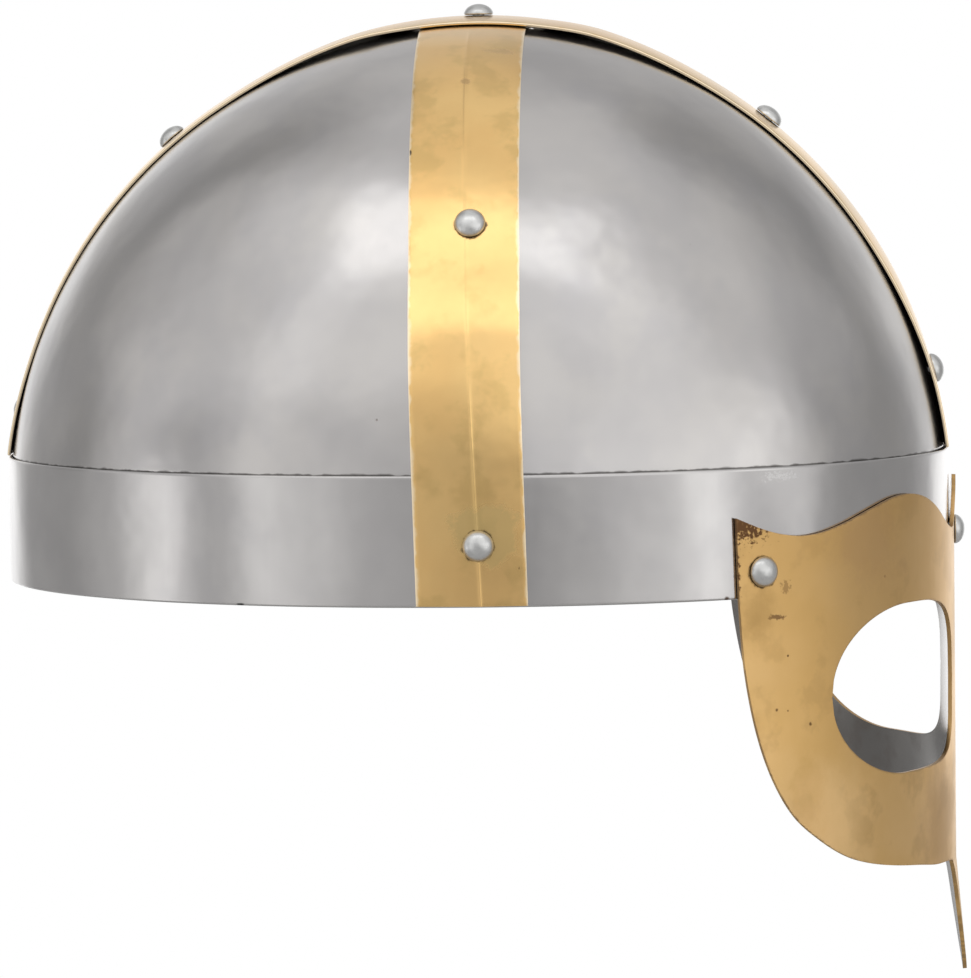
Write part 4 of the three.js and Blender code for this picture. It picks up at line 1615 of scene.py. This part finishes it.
@dataclass(frozen=True)
class Softbox:
    """A flat lamp that faces the helmet, placed by azimuth and elevation in degrees, 0 on the near side."""

    name: str
    azimuth: float
    elevation: float
    distance: float
    width: float
    height: float
    power: float
    aim_height: float = 0.05

    def build(self) -> None:
        """Hangs the lamp and turns it to the helmet."""
        data = bpy.data.lights.new(self.name, "AREA")
        data.shape = "RECTANGLE"
        data.size, data.size_y = self.width, self.height
        data.energy = self.power
        lamp = bpy.data.objects.new(self.name, data)
        bpy.context.scene.collection.objects.link(lamp)
        a, e = math.radians(self.azimuth), math.radians(self.elevation)
        away = Vector((math.sin(a) * math.cos(e), -math.cos(a) * math.cos(e), math.sin(e)))
        lamp.location = away * self.distance + Vector((0, 0, self.aim_height))
        lamp.rotation_euler = away.to_track_quat("Z", "Y").to_euler()


@dataclass(frozen=True)
class Studio:
    """The pale floor, the soft light and the camera."""

    image_height: int = 978
    focal_pixels: float = 5600.0
    sensor: float = 36.0
    camera_distance: float = 1.4
    camera_height: float = 0.1206
    camera_turn: float = 3.5
    camera_roll: float = 0.7207
    target: tuple[float, float, float] = (0.00193, 0.0, 0.02085)
    floor_z: float = -0.13
    floor_radius: float = 0.5
    floor_sides: int = 96
    floor_light: tuple[tuple[float, float], ...] = (
        (-180, 1.5), (-158, 1.4), (-144, 0.9), (-130, 0.44), (-105, 0.46), (-88, 0.6), (-71, 1.5),
        (-58, 0.62), (-52, 0.56), (-42, 1.25), (-34, 0.95), (-26, 0.58), (9, 0.46), (25, 0.6), (38, 0.85),
        (48, 1.45), (61, 0.76), (77, 0.95), (88, 0.45), (110, 0.42), (124, 0.44), (137, 0.62), (148, 1.3),
        (163, 1.5))
    low_light: tuple[tuple[float, float], ...] = (
        (-180, 1.05), (-165, 1.05), (-148, 0.95), (-125, 0.44), (-105, 0.42), (-80, 0.84), (-61, 0.64),
        (-41, 1.02), (-15, 0.7), (0, 0.68), (15, 0.9), (30, 1.2), (50, 1.2), (68, 1.35), (80, 0.7),
        (90, 0.46), (110, 0.42), (128, 0.46), (148, 0.8), (165, 1.05))
    high_light: tuple[tuple[float, float], ...] = (
        (-180, 0.6), (-165, 0.72), (-120, 0.42), (-96, 0.72), (-72, 0.88), (-40, 1.1), (0, 1.0), (40, 1.1),
        (72, 0.86), (96, 0.74), (122, 0.45), (150, 0.6))
    top_light: float = 0.85
    light_spots: float = 0.12
    light_spot_scale: float = 3.0
    low_starts: tuple[float, float] = (-0.06, 0.06)
    high_starts: tuple[float, float] = (0.15, 0.5)
    top_starts: tuple[float, float] = (0.8, 1.0)
    floor_colour: tuple[float, float, float] = (0.62, 0.62, 0.62)
    floor_roughness: float = 0.9
    clip: tuple[float, float] = (0.05, 60)
    lamps: tuple[Softbox, ...] = (
        Softbox("key_softbox", azimuth=0, elevation=58, distance=1.5, width=1.4, height=0.42, power=1.5),)

    def build(self) -> None:
        """Builds the whole studio."""
        self._camera()
        self._floor()
        self._world()
        for lamp in self.lamps:
            lamp.build()
        settings = bpy.context.scene.view_settings
        settings.view_transform = "Standard"
        settings.look = "None"

    def _camera(self) -> None:
        """Places the camera at the photograph's angle."""
        data = bpy.data.cameras.new("camera")
        data.lens = self.focal_pixels / self.image_height * self.sensor
        data.sensor_width = self.sensor
        data.clip_start, data.clip_end = self.clip
        camera = bpy.data.objects.new("camera", data)
        bpy.context.scene.collection.objects.link(camera)
        turn = math.radians(self.camera_turn)
        place = Vector((self.camera_distance * math.sin(turn), -self.camera_distance * math.cos(turn),
                        self.camera_height))
        ahead = (Vector(self.target) - place).normalized()
        right = ahead.cross(Vector((0, 0, 1))).normalized()
        up = right.cross(ahead)
        roll = math.radians(self.camera_roll)
        tilted_right = math.cos(roll) * right - math.sin(roll) * up
        tilted_up = math.sin(roll) * right + math.cos(roll) * up
        turned = Matrix((tilted_right, tilted_up, -ahead)).transposed().to_4x4()
        camera.matrix_world = Matrix.Translation(place) @ turned
        bpy.context.scene.camera = camera

    def _floor(self) -> None:
        """Lays the pale floor, which is plain white to the camera."""
        deselect_all()
        bpy.ops.mesh.primitive_circle_add(vertices=self.floor_sides, radius=self.floor_radius,
                                          fill_type="NGON", location=(0, 0, self.floor_z))
        floor = named("floor")
        material = bpy.data.materials.new("pale_floor")
        material.use_nodes = True
        wiring = Wiring(material.node_tree)
        pale = material.node_tree.nodes["Principled BSDF"]
        socket_value(pale, "Base Color", (*self.floor_colour, 1))
        socket_value(pale, "Roughness", self.floor_roughness)
        white = wiring.add("ShaderNodeEmission")
        mix = wiring.add("ShaderNodeMixShader")
        path = wiring.add("ShaderNodeLightPath")
        wiring.join(path.outputs["Is Camera Ray"], mix.inputs[0])
        wiring.join(pale.outputs[0], mix.inputs[1])
        wiring.join(white.outputs[0], mix.inputs[2])
        wiring.join(mix.outputs[0], material.node_tree.nodes["Material Output"].inputs["Surface"])
        floor.data.materials.append(material)

    def _world(self) -> None:
        """Surrounds the helmet with soft light in bright and dark panels, white to the camera."""
        world = bpy.data.worlds.new("studio")
        bpy.context.scene.world = world
        world.use_nodes = True
        wiring = Wiring(world.node_tree)
        direction = wiring.add("ShaderNodeTexCoord").outputs["Generated"]
        parts = wiring.add("ShaderNodeSeparateXYZ")
        wiring.join(direction, parts.inputs[0])
        x, y, z = parts.outputs
        around = wiring.math("MULTIPLY_ADD", wiring.math("ARCTAN2", x, wiring.math("MULTIPLY", y, -1.0)),
                             1 / math.tau, 0.5)
        ramps = []
        for stops in (self.floor_light, self.low_light, self.high_light):
            ramps.append(wiring.add("ShaderNodeValToRGB"))
            wiring.join(around, ramps[-1].inputs[0])
            self._set_stops(ramps[-1].color_ramp, stops)
        below, low, high = (ramp.outputs[0] for ramp in ramps)
        light = wiring.mix_colour(wiring.ramp(z, *self.low_starts), below, low)
        light = wiring.mix_colour(wiring.ramp(z, *self.high_starts), light, high)
        light = wiring.mix_colour(wiring.ramp(z, *self.top_starts), light, (*(self.top_light,) * 3, 1))
        uneven = wiring.noise(direction, self.light_spot_scale, detail=3)
        spots = wiring.ramp(uneven, *NOISE_SPAN, 1 - self.light_spots, 1 + self.light_spots)
        light = wiring.mix_colour(1.0, light, spots, blend="MULTIPLY")
        path = wiring.add("ShaderNodeLightPath")
        seen = wiring.mix_colour(path.outputs["Is Camera Ray"], light, (1, 1, 1, 1))
        wiring.join(seen, world.node_tree.nodes["Background"].inputs["Color"])

    @staticmethod
    def _set_stops(ramp: bpy.types.ColorRamp, stops: Sequence[tuple[float, float]]) -> None:
        """Sets a ramp around the full circle.

        Args:
            ramp: The ramp, from -180 to 180 degrees.
            stops: Azimuths in degrees with the light there, the last joining the first.
        """
        ramp.interpolation = "EASE"
        full = [*stops, (180, stops[0][1])]
        while len(ramp.elements) < len(full):
            ramp.elements.new(0.5)
        for element, (azimuth, value) in zip(ramp.elements, full):
            element.position = (azimuth + 180) / 360
            element.color = (value, value, value, 1)


def main() -> None:
    """Dresses the helmet and sets up the studio."""
    logging.basicConfig(level=logging.INFO, format="%(name)s: %(message)s")
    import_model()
    effects = SheetEffects()
    form = HelmetForm()
    strips = Strips(form)
    guard = FaceGuard(form)
    rivets = Rivets(form, strips, guard)
    seats = rivets.seats()
    # Painted contact shadow rings round the rivets' heads, on the guard and on the strips.
    rivet_shadow = RivetShadow()
    on_guard = rivet_shadow.around([place.spot for place in seats if "guard" in place.node])
    on_strips = rivet_shadow.around([place.spot for place in seats if "guard" not in place.node])
    inner_steel = STEEL_INSIDE.material(effects)
    inner_brass = STRIP_INSIDE.material(effects)
    DomePlates(form).build((STEEL.material(effects), inner_steel))
    BrowBand(form).build((BAND_STEEL.material(effects), inner_steel))
    strips.build((STRIP_BRASS.material(effects, on_strips), inner_brass))
    guard.build((GUARD_BRASS.material(effects, on_guard), GUARD_INSIDE.material(effects)))
    rivets.build(RIVET_STEEL.material(effects))
    Studio().build()


if __name__ == "__main__":
    main()
